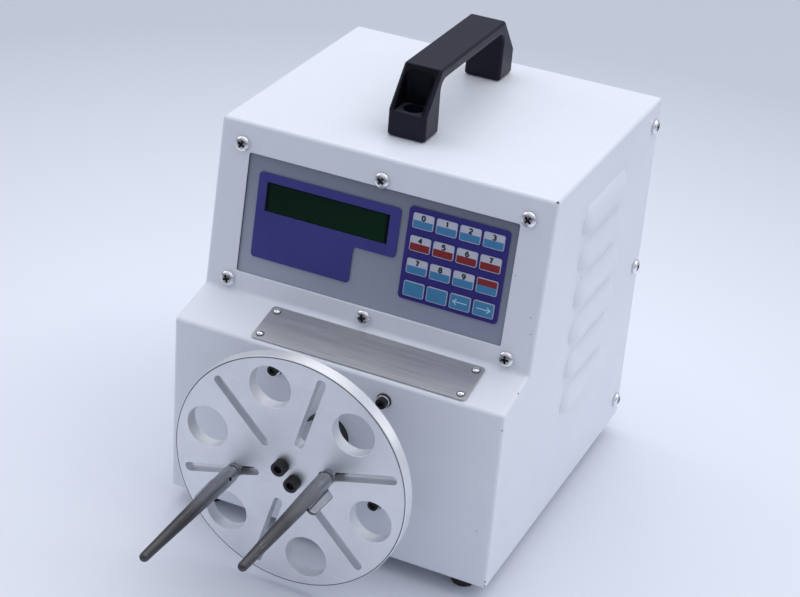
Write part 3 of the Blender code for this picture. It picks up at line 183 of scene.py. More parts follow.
# Control panel, in the slope's axes
window_width = 0.162
window_low = 0.0120
window_high = 0.0820
window_corner = 0.0012
plate_width = 0.184
plate_low = 0.0012
plate_high = 0.0917
plate_corner = 0.003
plate_thickness = 0.0020
panel_screw_span = 0.171
panel_screw_low = 0.0064
panel_screw_high = 0.0861
panel_screw_turns = (23, 41)
overlay_thickness = 0.0006
overlay_corner = 0.0022
label_left = -0.0736
label_right = 0.0132
label_low = 0.0230
label_step_right = -0.0122
label_step_height = 0.0445
label_high = 0.0730
display_left = -0.0683
display_right = 0.0071
display_low = 0.0509
display_high = 0.0680
opening_corner = 0.0002
glass_edge = 0.0001
cell_end_margin = 0.0020
cell_side_margin = 0.0006
cell_corner = 0.0004
cell_fade = 0.0003
keypad_left = 0.0178
keypad_right = 0.0766
keypad_low = 0.0234
keypad_high = 0.0764
keypad_lap = 0.0012
key_columns = 4
key_rows = 4
key_first_column = 0.0267
key_first_row = 0.0690
key_column_pitch = 0.01378
key_row_pitch = 0.0130
key_width = 0.0123
key_height = 0.0086
key_corner = 0.0011
key_proud = 0.0005
key_edge = 0.0002
key_room = 0.00012
key_outline = 0.00042
key_split = 0.0003
digit_height = 0.0026
digit_rise = 0.0021
digit_weight = 0.00088
digit_spread = 1.18
arrow_half = 0.0041
arrow_barb = 0.0026
arrow_barb_run = 0.79
arrow_barb_rise = 0.62
arrow_weight = 0.00052
print_flat = 0.16
stroke_gap = 0.0001

# Nameplate on the shelf
nameplate_left = -0.0531
nameplate_right = 0.0763
nameplate_low = 0.0022
nameplate_high = 0.0305
nameplate_thickness = 0.0008
nameplate_corner = 0.0022
nameplate_hole_inset = 0.0041
nameplate_edge = 0.00018

# Motor front, hub and disc
motor_screw_span = 0.0660
motor_size = 0.0820
motor_corner = 0.0060
motor_flange = 0.0080
motor_boss_radius = 0.0132
motor_boss_height = 0.0055
motor_boss_edge = 0.0006
bearing_radius = 0.0110
bearing_depth = 0.0088
spindle_radius = 0.0060
spindle_room = 0.002
disc_radius = 0.0695
disc_thickness = 0.0080
disc_face = 0.0454
disc_chamfer = 0.0004
disc_line_inner = 0.00095
disc_line_outer = 0.00035
disc_line_drop = 0.00012
disc_cut_flare = 0.00025
disc_level = 0.9
disc_slot_turn = 15.0
disc_hole_turn = 45.0
disc_pattern_count = 6
slot_inner = 0.0185
slot_outer = 0.0650
slot_width = 0.0052
disc_hole_radius = 0.0124
disc_hole_circle = 0.0515
disc_screw_circle = 0.0055
disc_screw_turn = 135.0

# Winding fingers, from the disc's face outwards
stud_radius = 0.0023
stud_edge = 0.00025
stud_head_radius = 0.0042
stud_head_height = 0.0022
slot_nut_depth = 0.0040
collar_radius = 0.0034
collar_low = 0.0019
collar_top = 0.0036
fork_radius = 0.0028
fork_height = 0.0160
fork_slack = 0.0003
finger_base = 0.0039
finger_reach = 0.0955
finger_base_radius = 0.0046
finger_tip_radius = 0.0026
finger_straight = 0.0090
finger_edge = 0.0009
finger_bore_end = 0.0170
finger_bore_room = 0.0003
finger_bore_cone = 0.0016
finger_cut_edge = 0.00018
finger_stain_start = 0.008
finger_stain_end = 0.052
finger_hole_radius = 0.0011
finger_hole_height = 0.0119
finger_groove_slack = 0.0005
finger_groove_end = 0.0340
finger_groove_radius = 0.0030
lever_thickness = 0.0020
lever_edge = 0.0004
lever_level = 0.95
lever_pin_room = 0.0001
lever_pin_radius = 0.0010
lever_pivot_out = 0.0008
lever_pivot_height = 0.0130
lever_heel_radius = 0.0024
lever_inner = 0.0016
lever_knuckle_out = 0.0046
lever_knuckle_height = 0.0086
lever_corner_out = 0.0094
lever_corner_height = 0.0104
lever_corner_radius = 0.0006
lever_nose_out = 0.0058
lever_nose_height = 0.0280
lever_nose_radius = 0.0030
lever_shoulder_height = 0.0235
# Painted shade on the lever where it leaves the finger's groove
groove_shade_inner = 0.0034
groove_shade_outer = 0.0047
groove_shade_fade = 0.0004

# Mains inlet and power switch, in the rear panel's axes
inlet_right = 0.055
inlet_height = 0.045
inlet_width = 0.0270
inlet_body_height = 0.0200
inlet_corner = 0.0030
inlet_rim = 0.0022
inlet_flange = 0.0020
inlet_depth = 0.0220
socket_width = 0.0240
socket_height = 0.0160
socket_depth = 0.0170
socket_chamfer = 0.0035
socket_corner = 0.0006
socket_flare = 0.0005
blade_width = 0.0040
blade_thickness = 0.0020
blade_length = 0.0110
blade_edge = 0.0004
blade_root = 0.001
blade_spacing = 0.0070
blade_earth_rise = 0.0020
blade_line_drop = 0.0020
switch_right = 0.018
switch_width = 0.0130
switch_body_height = 0.0195
switch_corner = 0.0006
switch_rim = 0.0018
switch_flange = 0.0018
switch_depth = 0.0160
switch_cavity_depth = 0.0110
rocker_width = 0.0100
rocker_height = 0.0150
rocker_valley = 0.0012
rocker_rise = 0.0030
rocker_body = 0.0050
rocker_edge = 0.0003
rocker_side_gap = 0.0004
rocker_end_gap = 0.0009
rocker_turn = math.radians(8.0)
fitting_edge = 0.0005
mark_share = 0.55
mark_size = 0.0026
mark_weight = 0.00042

# Camera, in the case's axes
camera_place = (0.3945, -0.8533, 0.6625)
camera_turn = (1.0755, -0.0721, 0.4374)
camera_lens = 90.4
camera_sensor = 36.0
floor_reach = 20.0
lamp_aim = (0, 0, 0.12)
lamp_colour = (0.97, 0.985, 1.0)

# Axes that pieces are drawn in
quarter = math.radians(90)
upright = Matrix.Rotation(quarter, 4, "X")
towards_x = Matrix.Rotation(quarter, 4, "Y")
across = Matrix(((0, 0, 1, 0), (1, 0, 0, 0), (0, 1, 0, 0), (0, 0, 0, 1)))
mirrored = Matrix.Scale(-1, 4, (1, 0, 0))
case_axes = Matrix.Translation((0, cover_low.y, cover_low.z))
shelf_turn = math.atan2(shelf_rise, shelf_depth)
panel_turn = math.atan2(panel_rise, panel_setback)
shelf_axes = case_axes @ Matrix.Translation((0, 0, front_height)) @ Matrix.Rotation(shelf_turn, 4, "X")
panel_foot = Matrix.Translation((0, shelf_depth, front_height + shelf_rise))
panel_axes = case_axes @ panel_foot @ Matrix.Rotation(panel_turn, 4, "X")
spindle_axes = Matrix.Translation(joints["disc_spin"]["pos_m"]) @ upright
rear_face = case_depth - seat_gap
rear_turn = Matrix.Rotation(quarter + quarter, 4, "Z") @ upright
rear_axes = case_axes @ Matrix.Translation((0, rear_face, 0)) @ rear_turn
plate_face = -sheet - seat_gap
plate_back = plate_face - plate_thickness
overlay_back = plate_face + seat_gap
overlay_face = overlay_back + overlay_thickness


# Outlines and closed shapes


def arc(centre, radius, start, end, steps):
    turns = [math.radians(start + (end - start) * i / steps) for i in range(steps + 1)]
    return [(centre[0] + radius * math.cos(t), centre[1] + radius * math.sin(t)) for t in turns]


def ring(radius, steps=64, centre=(0, 0)):
    return arc(centre, radius, 0, 360, steps)[:-1]


def rounded_outline(corners, steps=8):
    """Fillets the corners (x, y, radius) of a polygon, whether they point out or in."""
    outline = []
    for i, (x, y, radius) in enumerate(corners):
        here = Vector((x, y))
        if not radius:
            outline.append((x, y))
            continue
        before = (Vector(corners[i - 1][:2]) - here).normalized()
        after = (Vector(corners[(i + 1) % len(corners)][:2]) - here).normalized()
        half_angle = before.angle(after) / 2
        centre = here + (before + after).normalized() * radius / math.sin(half_angle)
        first = here + before * radius / math.tan(half_angle) - centre
        last = here + after * radius / math.tan(half_angle) - centre
        start = math.atan2(first.y, first.x)
        turn = math.atan2(first.x * last.y - first.y * last.x, first.dot(last))
        outline += arc(centre, radius, math.degrees(start), math.degrees(start + turn), steps)
    return outline


def rounded_rectangle(left, right, low, high, radius, grow=0.0, steps=8):
    left, right, low, high = left - grow, right + grow, low - grow, high + grow
    corners = ((left, low), (right, low), (right, high), (left, high))
    return rounded_outline([(x, y, max(radius + grow, least_radius)) for x, y in corners], steps)


def stadium(inner, outer, width, grow=0.0, steps=14):
    """A slot's outline along X, with round ends."""
    radius = width / 2
    far = arc((outer - radius, 0), radius + grow, -90, 90, steps)
    return far + arc((inner + radius, 0), radius + grow, 90, 270, steps)


def loft(levels):
    """A closed solid through outlines with equal counts of points, each at its height."""
    shape = bmesh.new()
    rows = [[shape.verts.new((x, y, height)) for x, y in outline] for outline, height in levels]
    count = len(rows[0])
    for low, high in zip(rows, rows[1:]):
        for i in range(count):
            shape.faces.new((low[i], low[(i + 1) % count], high[(i + 1) % count], high[i]))
    shape.faces.new(reversed(rows[0]))
    shape.faces.new(rows[-1])
    bmesh.ops.recalc_face_normals(shape, faces=shape.faces)
    return shape


def prism(outline, low, high):
    return loft([(outline, low), (outline, high)])


def slab(outline_at, low, high, edge, steps=4):
    """A flat piece whose upper edge is rounded. The outline is asked for at each inset."""
    levels = [(outline_at(0.0), low)]
    for i in range(steps + 1):
        turn = quarter * i / steps
        levels.append((outline_at(-edge * (1 - math.cos(turn))), high - edge + edge * math.sin(turn)))
    return loft(levels)


def pierced(outline_at, low, high, flare):
    """A cutter that leaves a small chamfer where it comes out on top."""
    straight, wide = outline_at(0.0), outline_at(flare * 2)
    return loft([(straight, low), (straight, high - flare), (wide, high + flare)])


def box(low, high):
    shape = bmesh.new()
    bmesh.ops.create_cube(shape, size=1)
    low, high = Vector(low), Vector(high)
    bmesh.ops.scale(shape, vec=high - low, verts=shape.verts)
    bmesh.ops.translate(shape, vec=(low + high) / 2, verts=shape.verts)
    return shape


def cylinder(radius, low, high, steps=48):
    return prism(ring(radius, steps), low, high)


def turned(profile, steps=96):
    """A shape turned about Z from its profile (radius, height)."""
    shape = bmesh.new()
    points = [shape.verts.new((radius, 0, height)) for radius, height in profile]
    ends = list(zip(points, points[1:]))
    if profile[0][0] > 0:
        ends.append((points[-1], points[0]))
    edges = [shape.edges.new(pair) for pair in ends]
    lathe = {"axis": (0, 0, 1), "angle": math.tau, "steps": steps, "use_merge": True}
    bmesh.ops.spin(shape, geom=points + edges, **lathe)
    bmesh.ops.remove_doubles(shape, verts=shape.verts, dist=merge_distance)
    bmesh.ops.recalc_face_normals(shape, faces=shape.faces)
    return shape


def moved(shape, matrix):
    bmesh.ops.transform(shape, matrix=matrix, verts=shape.verts)
    if matrix.determinant() < 0:
        bmesh.ops.reverse_faces(shape, faces=shape.faces)
    return shape


def as_mesh(name, shape):
    if isinstance(shape, bpy.types.Mesh):
        return shape
    mesh = bpy.data.meshes.new(name)
    shape.to_mesh(mesh)
    shape.free()
    return mesh


def as_shape(mesh):
    shape = bmesh.new()
    shape.from_mesh(mesh)
    return shape


def copies(shape, places):
    """The shape at each place, which is a point or a matrix."""
    mesh = as_mesh("copied", shape)
    return gather(*[moved(as_shape(mesh), as_matrix(place)) for place in places])


def as_matrix(place):
    return place if isinstance(place, Matrix) else Matrix.Translation(place)


def gather(*shapes):
    whole = bmesh.new()
    for shape in shapes:
        whole.from_mesh(as_mesh("gathered", shape))
    return whole


def placed(name, data):
    made = bpy.data.objects.new(name, data)
    bpy.context.scene.collection.objects.link(made)
    return made


def carved(shape, cuts=(), joins=()):
    """The mesh that is left when the joined shapes are added and the cutters are taken away."""
    blank = placed("blank", as_mesh("blank", shape))
    tools = []
    for operation, shapes in (("UNION", joins), ("DIFFERENCE", cuts)):
        for item in shapes:
            tool = placed("tool", as_mesh("tool", item))
            step = blank.modifiers.new(operation, "BOOLEAN")
            step.operation = operation
            step.solver = "EXACT"
            step.object = tool
            tools.append(tool)
    return applied(blank, *tools)


def applied(blank, *tools):
    """The mesh that an object's modifiers give. The object and its tools are then removed."""
    bpy.context.view_layer.update()
    graph = bpy.context.evaluated_depsgraph_get()
    mesh = bpy.data.meshes.new_from_object(blank.evaluated_get(graph))
    for item in (blank, *tools):
        bpy.data.objects.remove(item)
    return mesh


def bevelled(shape, width, segments=3, least_turn=35):
    """The mesh with every edge that turns by more than the least turn rounded."""
    blank = placed("blank", as_mesh("blank", shape))
    step = blank.modifiers.new("rounded edges", "BEVEL")
    step.width = width
    step.segments = segments
    step.limit_method = "ANGLE"
    step.angle_limit = math.radians(least_turn)
    return applied(blank)


def piece(name, shape, axes, body, finish, slot, replaces=(), smooth=32, others=()):
    """One named piece, which rides on a body and may stand for solids.

    Faces wear the first finish, or one of the others where their material index says so.
    """
    mesh = as_mesh(name, shape)
    mesh.name = name
    made = placed(name, mesh)
    made.matrix_world = axes
    while mesh.materials:
        mesh.materials.pop()
    for painted_light_extras in (finish, *others):
        mesh.materials.append(finishes[painted_light_extras])
    mesh.shade_smooth()
    mesh.set_sharp_from_angle(angle=math.radians(smooth))
    shading = made.modifiers.new("even shading", "WEIGHTED_NORMAL")
    shading.keep_sharp = True
    shading.weight = 100
    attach(made, body)
    if replaces:
        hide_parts(*replaces)
    return made


# Node trees


def feed(tree, made, key, value):
    """Links a node's input to an output, or sets it to a value."""
    if isinstance(value, bpy.types.NodeSocket):
        tree.links.new(value, made.inputs[key])
    else:
        made.inputs[key].default_value = value


def add_node(tree, kind, inputs=None, **settings):
    """A node with its settings, and with its inputs set to values or linked to outputs."""
    made = tree.nodes.new(kind)
    for name, value in settings.items():
        setattr(made, name, value)
    for key, value in (inputs or {}).items():
        feed(tree, made, key, value)
    return made


def calculate(tree, operation, *values, clamp=False):
    inputs = dict(enumerate(values))
    return add_node(tree, "ShaderNodeMath", inputs, operation=operation, use_clamp=clamp).outputs[0]


def times(tree, first, second):
    return calculate(tree, "MULTIPLY", first, second)


def blend_colour(tree, factor, first, second, mode="MIX"):
    made = add_node(tree, "ShaderNodeMix", data_type="RGBA", blend_type=mode)
    for key, value in ((0, factor), (6, first), (7, second)):
        feed(tree, made, key, (*value, 1.0) if isinstance(value, tuple) else value)
    return made.outputs[2]


def tinted(tree, colour, mask, share, other):
    """The colour with up to a share of another colour, where the mask says."""
    return blend_colour(tree, times(tree, mask, share), colour, other)


def either(tree, first, first_share, second, second_share):
    """The stronger of two masks, each times its share."""
    weighed = (times(tree, first, first_share), times(tree, second, second_share))
    return calculate(tree, "MAXIMUM", *weighed)


def remap(tree, value, low, high, new_low=0.0, new_high=1.0):
    inputs = {"Value": value, "From Min": low, "From Max": high, "To Min": new_low, "To Max": new_high}
    return add_node(tree, "ShaderNodeMapRange", inputs).outputs["Result"]


def between(tree, value, low, high):
    return remap(tree, value, 0.0, 1.0, low, high)


def noise(tree, vector, scale, detail=3.0, roughness=0.5):
    inputs = {"Vector": vector, "Scale": scale, "Detail": detail, "Roughness": roughness}
    return add_node(tree, "ShaderNodeTexNoise", inputs).outputs["Fac"]


def stretched(tree, vector, scale, turn=(0, 0, 0)):
    inputs = {"Vector": vector, "Scale": scale, "Rotation": turn}
    return add_node(tree, "ShaderNodeMapping", inputs).outputs["Vector"]


def parts_of(tree, vector):
    return add_node(tree, "ShaderNodeSeparateXYZ", {"Vector": vector}).outputs


def length_of(tree, *parts):
    squares = [times(tree, part, part) for part in parts]
    return calculate(tree, "SQRT", calculate(tree, "ADD", *squares))


def new_group(name, inputs, outputs):
    """An empty shader group, its input sockets and the node that takes its results."""
    tree = bpy.data.node_groups.new(name, "ShaderNodeTree")
    kinds = {"Vector": "NodeSocketVector"}
    for title, value in inputs:
        kind = kinds.get(title, "NodeSocketFloat")
        made = tree.interface.new_socket(name=title, in_out="INPUT", socket_type=kind)
        if kind == "NodeSocketFloat":
            made.default_value = value
    for title in outputs:
        tree.interface.new_socket(name=title, in_out="OUTPUT", socket_type="NodeSocketFloat")
    return tree, tree.nodes.new("NodeGroupInput").outputs, tree.nodes.new("NodeGroupOutput")


def make_grain_group():
    """Fine moulded or sprayed grain: a height for bumps and a slow tone for colour."""
    tree, given, result = new_group(
        "surface grain", [("Vector", None), ("Scale", 900.0), ("Tone Scale", 30.0)], ["Height", "Tone"]
    )
    fine = noise(tree, given["Vector"], given["Scale"], 2.0, 0.55)
    slow = noise(tree, given["Vector"], given["Tone Scale"], 4.0, 0.6)
    tree.links.new(fine, result.inputs["Height"])
    tree.links.new(remap(tree, slow, 0.3, 0.7), result.inputs["Tone"])
    return tree


def make_scratch_group():
    """Hairline scratches in two directions, as a mask."""
    tree, given, result = new_group(
        "hairline scratches", [("Vector", None), ("Scale", 90.0), ("Share", 0.08)], ["Mask"]
    )
    masks = []
    for turn, thin in ((0.5, 26.0), (-0.8, 34.0), (1.9, 22.0)):
        lines = stretched(tree, given["Vector"], (1.0, thin, 1.0), (0.0, 0.0, turn))
        streaks = noise(tree, lines, given["Scale"], 1.0, 0.4)
        patches = noise(tree, given["Vector"], times(tree, given["Scale"], 0.6), 1.0, 0.4)
        limit = calculate(tree, "SUBTRACT", 0.78, given["Share"])
        line = calculate(tree, "GREATER_THAN", streaks, limit)
        masks.append(times(tree, line, remap(tree, patches, 0.5, 0.62)))
    both = calculate(tree, "MAXIMUM", calculate(tree, "MAXIMUM", masks[0], masks[1]), masks[2])
    tree.links.new(both, result.inputs["Mask"])
    return tree


def make_brushed_group():
    """Straight grain along X, as rolled and brushed metal has."""
    tree, given, result = new_group("brushed grain", [("Vector", None), ("Scale", 60.0)], ["Value"])
    fine = stretched(tree, given["Vector"], (1.0, 90.0, 90.0))
    broad = stretched(tree, given["Vector"], (0.4, 22.0, 22.0))
    fine = times(tree, noise(tree, fine, given["Scale"], 2.0), 0.6)
    broad = times(tree, noise(tree, broad, given["Scale"], 2.0), 0.4)
    both = calculate(tree, "ADD", fine, broad)
    tree.links.new(remap(tree, both, 0.32, 0.68), result.inputs["Value"])
    return tree


def make_ring_group():
    """Turning marks: rings around Z on faces, and along Z on round sides."""
    tree, given, result = new_group(
        "turning marks", [("Vector", None), ("Scale", 5000.0), ("Along", 0.0)], ["Value"]
    )
    x, y, z = parts_of(tree, given["Vector"])
    radius = length_of(tree, x, y)
    apart = calculate(tree, "SUBTRACT", 1.0, given["Along"])
    lengthwise = times(tree, z, given["Along"])
    run = calculate(tree, "ADD", lengthwise, times(tree, radius, apart))
    place = add_node(tree, "ShaderNodeCombineXYZ", {"X": run}).outputs[0]
    marks = noise(tree, place, given["Scale"], 3.0, 0.7)
    tree.links.new(remap(tree, marks, 0.3, 0.7), result.inputs["Value"])
    return tree


def make_edge_group():
    """A mask of edges and corners, broken up by noise: wear, and a painted highlight where edges catch the
    light.
    """
    tree, given, result = new_group(
        "worn and highlighted edges", [("Vector", None), ("Radius", 0.0006), ("Scale", 300.0)], ["Mask"]
    )
    # The edge mask stands for both wear and a painted edge highlight.
    soft = add_node(tree, "ShaderNodeBevel", {"Radius": given["Radius"]}, samples=4).outputs[0]
    flat = add_node(tree, "ShaderNodeNewGeometry").outputs["Normal"]
    inputs = {0: soft, 1: flat}
    along = add_node(tree, "ShaderNodeVectorMath", inputs, operation="DOT_PRODUCT").outputs["Value"]
    edge = remap(tree, along, 0.99, 0.8)
    broken = remap(tree, noise(tree, given["Vector"], given["Scale"], 4.0, 0.65), 0.42, 0.62)
    tree.links.new(times(tree, edge, broken), result.inputs["Mask"])
    return tree


def make_dust_group():
    """Fine dust that lies on faces that look up."""
    tree, given, result = new_group("settled dust", [("Vector", None), ("Scale", 500.0)], ["Mask"])
    normal = add_node(tree, "ShaderNodeNewGeometry").outputs["Normal"]
    up = remap(tree, parts_of(tree, normal)["Z"], 0.3, 1.0)
    specks = remap(tree, noise(tree, given["Vector"], given["Scale"], 2.0, 0.6), 0.62, 0.72)
    haze = remap(tree, noise(tree, given["Vector"], 14.0, 3.0, 0.5), 0.4, 0.8)
    both = calculate(tree, "ADD", times(tree, haze, 0.5), specks, clamp=True)
    tree.links.new(times(tree, up, both), result.inputs["Mask"])
    return tree


def make_frame_group():
    """The distance outside a rounded rectangle around the origin, negative inside it."""
    sizes = [("Half Width", 0.006), ("Half Height", 0.004), ("Corner", 0.001)]
    tree, given, result = new_group("rounded frame", [("Vector", None), *sizes], ["Distance"])
    x, y = parts_of(tree, given["Vector"])[:2]
    outside = []
    for value, half in ((x, given["Half Width"]), (y, given["Half Height"])):
        reach = calculate(tree, "SUBTRACT", half, given["Corner"])
        outside.append(calculate(tree, "SUBTRACT", calculate(tree, "ABSOLUTE", value), reach))
    far = [calculate(tree, "MAXIMUM", value, 0.0) for value in outside]
    corner = length_of(tree, *far)
    inside = calculate(tree, "MINIMUM", calculate(tree, "MAXIMUM", *outside), 0.0)
    distance = calculate(tree, "SUBTRACT", calculate(tree, "ADD", corner, inside), given["Corner"])
    tree.links.new(distance, result.inputs["Distance"])
    return tree


def make_chip_group():
    """One ragged chip in the paint, as a mask around a point."""
    places = [("X", 0.0), ("Y", 0.0), ("Z", 0.0)]
    tree, given, result = new_group("paint chip", [("Vector", None), *places, ("Radius", 0.0005)], ["Mask"])
    middle = add_node(tree, "ShaderNodeCombineXYZ", {axis: given[axis] for axis in "XYZ"}).outputs[0]
    inputs = {0: given["Vector"], 1: middle}
    away = add_node(tree, "ShaderNodeVectorMath", inputs, operation="DISTANCE").outputs["Value"]
    ragged = remap(tree, noise(tree, given["Vector"], 1600.0, 2.0, 0.6), 0.3, 0.7, 0.55, 1.25)
    reach = times(tree, given["Radius"], ragged)
    tree.links.new(calculate(tree, "LESS_THAN", away, reach), result.inputs["Mask"])
    return tree


def place_group(tree, group, vector, **values):
    """A shared group's outputs at a vector, with its other inputs set or linked."""
    made = tree.nodes.new("ShaderNodeGroup")
    made.node_tree = groups[group]
    for name, value in {"vector": vector, **values}.items():
        feed(tree, made, name.replace("_", " ").title(), value)
    return made.outputs


def new_finish(name, roughness=0.5, metallic=0.0, coat=0.0, specular=0.5):
    """A material, its node tree and its own coordinates."""
    finish = bpy.data.materials.new(name)
    finish.use_nodes = True
    tree = finish.node_tree
    shader = tree.nodes["Principled BSDF"]
    shader.inputs["Roughness"].default_value = roughness
    shader.inputs["Metallic"].default_value = metallic
    shader.inputs["Coat Weight"].default_value = coat
    shader.inputs["Specular IOR Level"].default_value = specular
    place = add_node(tree, "ShaderNodeTexCoord").outputs["Object"]
    return finish, tree, place


def complete(finish, colour, roughness=None, height=None, depth=0.0, strength=1.0):
    """The finish with its colour, and with its roughness and bumps where it has them."""
    tree = finish.node_tree
    shader = tree.nodes["Principled BSDF"]
    links = {"Base Color": colour, "Roughness": roughness}
    if height is not None:
        inputs = {"Height": height, "Distance": depth, "Strength": strength}
        links["Normal"] = add_node(tree, "ShaderNodeBump", inputs).outputs["Normal"]
    for name, value in links.items():
        if value is not None:
            tree.links.new(value, shader.inputs[name])
    return finish


groups = {
    "grain": make_grain_group(),
    "scratches": make_scratch_group(),
    "brushed": make_brushed_group(),
    "rings": make_ring_group(),
    "edges": make_edge_group(),
    "dust": make_dust_group(),
    "frame": make_frame_group(),
    "chip": make_chip_group(),
}


# Finishes

# Chips in the case's paint (x, y, z, radius), in the case's axes
paint_chips = (
    (0.0990, 0.0490, 0.2170, 0.00095),
    (0.0828, 0.0412, 0.1730, 0.00034),
    (0.0953, 0.0381, 0.1524, 0.00038),
    (0.0968, 0.0368, 0.1434, 0.00030),
    (0.0985, 0.0353, 0.1336, 0.00032),
    (0.0994, 0.0201, 0.1160, 0.00050),
    (0.0994, 0.0006, 0.1031, 0.00050),
    (0.0915, 0.0000, 0.0363, 0.00034),
    (0.0994, 0.0006, 0.0049, 0.00055),
    (0.0994, 0.0006, 0.0023, 0.00050),
)


def powder_coat():
    """White powder coat with a fine orange peel, faint dust and slightly worn edges."""
    finish, tree, place = new_finish("white powder coat", coat=0.12)
    grain = place_group(tree, "grain", place, scale=850.0, tone_scale=16.0)
    dust = place_group(tree, "dust", place, scale=700.0)["Mask"]
    white, cool = (0.785, 0.81, 0.88), (0.755, 0.78, 0.855)
    colour = blend_colour(tree, grain["Tone"], white, cool)
    colour = tinted(tree, colour, dust, 0.10, (0.55, 0.55, 0.56))
    for x, y, z, radius in paint_chips:
        chip = place_group(tree, "chip", place, x=x, y=y, z=z, radius=radius)["Mask"]
        colour = blend_colour(tree, chip, colour, (0.035, 0.035, 0.045))
    roughness = between(tree, grain["Tone"], 0.38, 0.47)
    tree.nodes["Principled BSDF"].inputs["Coat Roughness"].default_value = 0.25
    return complete(finish, colour, roughness, grain["Height"], depth=0.00006, strength=0.35)


def moulded_plastic(name, colour, edge_colour, roughness, specular=0.5):
    """Moulded plastic with a spark-eroded grain, and edges lighter for wear and for a painted highlight."""
    finish, tree, place = new_finish(name, specular=specular)
    grain = place_group(tree, "grain", place, scale=2600.0, tone_scale=40.0)
    edges = place_group(tree, "edges", place, radius=0.0007, scale=420.0)["Mask"]
    tone = blend_colour(tree, grain["Tone"], colour, tuple(1.25 * c for c in colour))
    mixed = tinted(tree, tone, edges, 0.55, edge_colour)
    rough = between(tree, grain["Tone"], roughness - 0.05, roughness + 0.06)
    return complete(finish, mixed, rough, grain["Height"], depth=0.00005, strength=0.5)


def painted_panel():
    """Satin slate-grey paint with a faint rolled texture, and painted light: lighter towards the bottom and
    the left.
    """
    finish, tree, place = new_finish("slate grey paint")
    grain = place_group(tree, "grain", place, scale=1900.0, tone_scale=22.0)
    marks = place_group(tree, "scratches", place, scale=60.0, share=0.03)["Mask"]
    # Painted light: the plate is lighter towards its bottom and its left, and darker at its top right.
    height = remap(tree, parts_of(tree, place)["Y"], window_high, window_low)
    along = remap(tree, parts_of(tree, place)["X"], -plate_width / 2, plate_width / 2)
    low = blend_colour(tree, along, (0.40, 0.43, 0.53), (0.29, 0.31, 0.42))
    high = blend_colour(tree, along, (0.23, 0.25, 0.325), (0.125, 0.14, 0.19))
    colour = blend_colour(tree, height, high, low)
    colour = tinted(tree, colour, grain["Tone"], 0.2, (0.25, 0.27, 0.34))
    colour = tinted(tree, colour, marks, 0.12, (0.4, 0.42, 0.48))
    rough = between(tree, grain["Tone"], 0.36, 0.46)
    return complete(finish, colour, rough, grain["Height"], depth=0.00004, strength=0.3)


def printed_film(name, colour, second):
    """Printed film over the panel, with a fine matt grain, and edges lighter for wear and for a painted
    highlight.
    """
    finish, tree, place = new_finish(name, specular=0.22)
    grain = place_group(tree, "grain", place, scale=3200.0, tone_scale=35.0)
    edges = place_group(tree, "edges", place, radius=0.0003, scale=500.0)["Mask"]
    tone = blend_colour(tree, grain["Tone"], colour, second)
    light = tuple(min(1.0, 2.2 * c + 0.03) for c in colour)
    mixed = tinted(tree, tone, edges, 0.3, light)
    rough = between(tree, grain["Tone"], 0.34, 0.44)
    return complete(finish, mixed, rough, grain["Height"], depth=0.00002, strength=0.3)


def key_film(name, upper, lower):
    """A key's printing in its own axes: two bands under the key's pale outline."""
    finish, tree, place = new_finish(name, specular=0.3)
    grain = place_group(tree, "grain", place, scale=3200.0, tone_scale=90.0)
    half_width, half_height = key_width / 2, key_height / 2
    shape = {"half_width": half_width, "half_height": half_height, "corner": key_corner}
    distance = place_group(tree, "frame", place, **shape)["Distance"]
    outline = calculate(tree, "GREATER_THAN", distance, -key_outline)
    band = calculate(tree, "GREATER_THAN", parts_of(tree, place)["Y"], key_split)
    colour = blend_colour(tree, band, lower, upper)
    colour = blend_colour(tree, outline, colour, (0.46, 0.50, 0.62))
    darker = blend_colour(tree, grain["Tone"], (1.0, 1.0, 1.0), (0.90, 0.90, 0.90))
    colour = blend_colour(tree, 1.0, colour, darker, "MULTIPLY")
    rough = between(tree, grain["Tone"], 0.32, 0.42)
    return complete(finish, colour, rough, grain["Height"], depth=0.00002, strength=0.3)


def ink(name, colour):
    """Printing ink, a little uneven."""
    finish, tree, place = new_finish(name, roughness=0.45)
    grain = place_group(tree, "grain", place, scale=6000.0, tone_scale=900.0)
    tone = blend_colour(tree, grain["Tone"], colour, tuple(min(1.0, c * 1.2 + 0.01) for c in colour))
    return complete(finish, tone)


def display_face():
    """A dark green display behind a clear window: a black mask around the cell."""
    finish, tree, place = new_finish("display window", roughness=0.3, specular=0.06)
    middle = ((display_left + display_right) / 2, (display_low + display_high) / 2, 0.0)
    inputs = {"Vector": place, "Location": tuple(-c for c in middle)}
    centred = add_node(tree, "ShaderNodeMapping", inputs).outputs["Vector"]
    half_width = (display_right - display_left) / 2
    half_height = (display_high - display_low) / 2
    wide, tall = half_width - cell_end_margin, half_height - cell_side_margin
    shape = {"half_width": wide, "half_height": tall, "corner": cell_corner}
    distance = place_group(tree, "frame", centred, **shape)["Distance"]
    inside = remap(tree, distance, cell_fade, -cell_fade)
    x, y = parts_of(tree, centred)[:2]
    drift = calculate(tree, "SUBTRACT", times(tree, x, 0.35), y)
    glow = remap(tree, drift, -half_height, half_width * 0.35 + half_height)
    green = blend_colour(tree, glow, (0.0035, 0.017, 0.009), (0.004, 0.027, 0.011))
    cells = remap(tree, noise(tree, centred, 2400.0, 1.0), 0.35, 0.65)
    green = tinted(tree, green, cells, 0.2, (0.003, 0.016, 0.012))
    colour = blend_colour(tree, inside, (0.0022, 0.0035, 0.005), green)
    return complete(finish, colour)


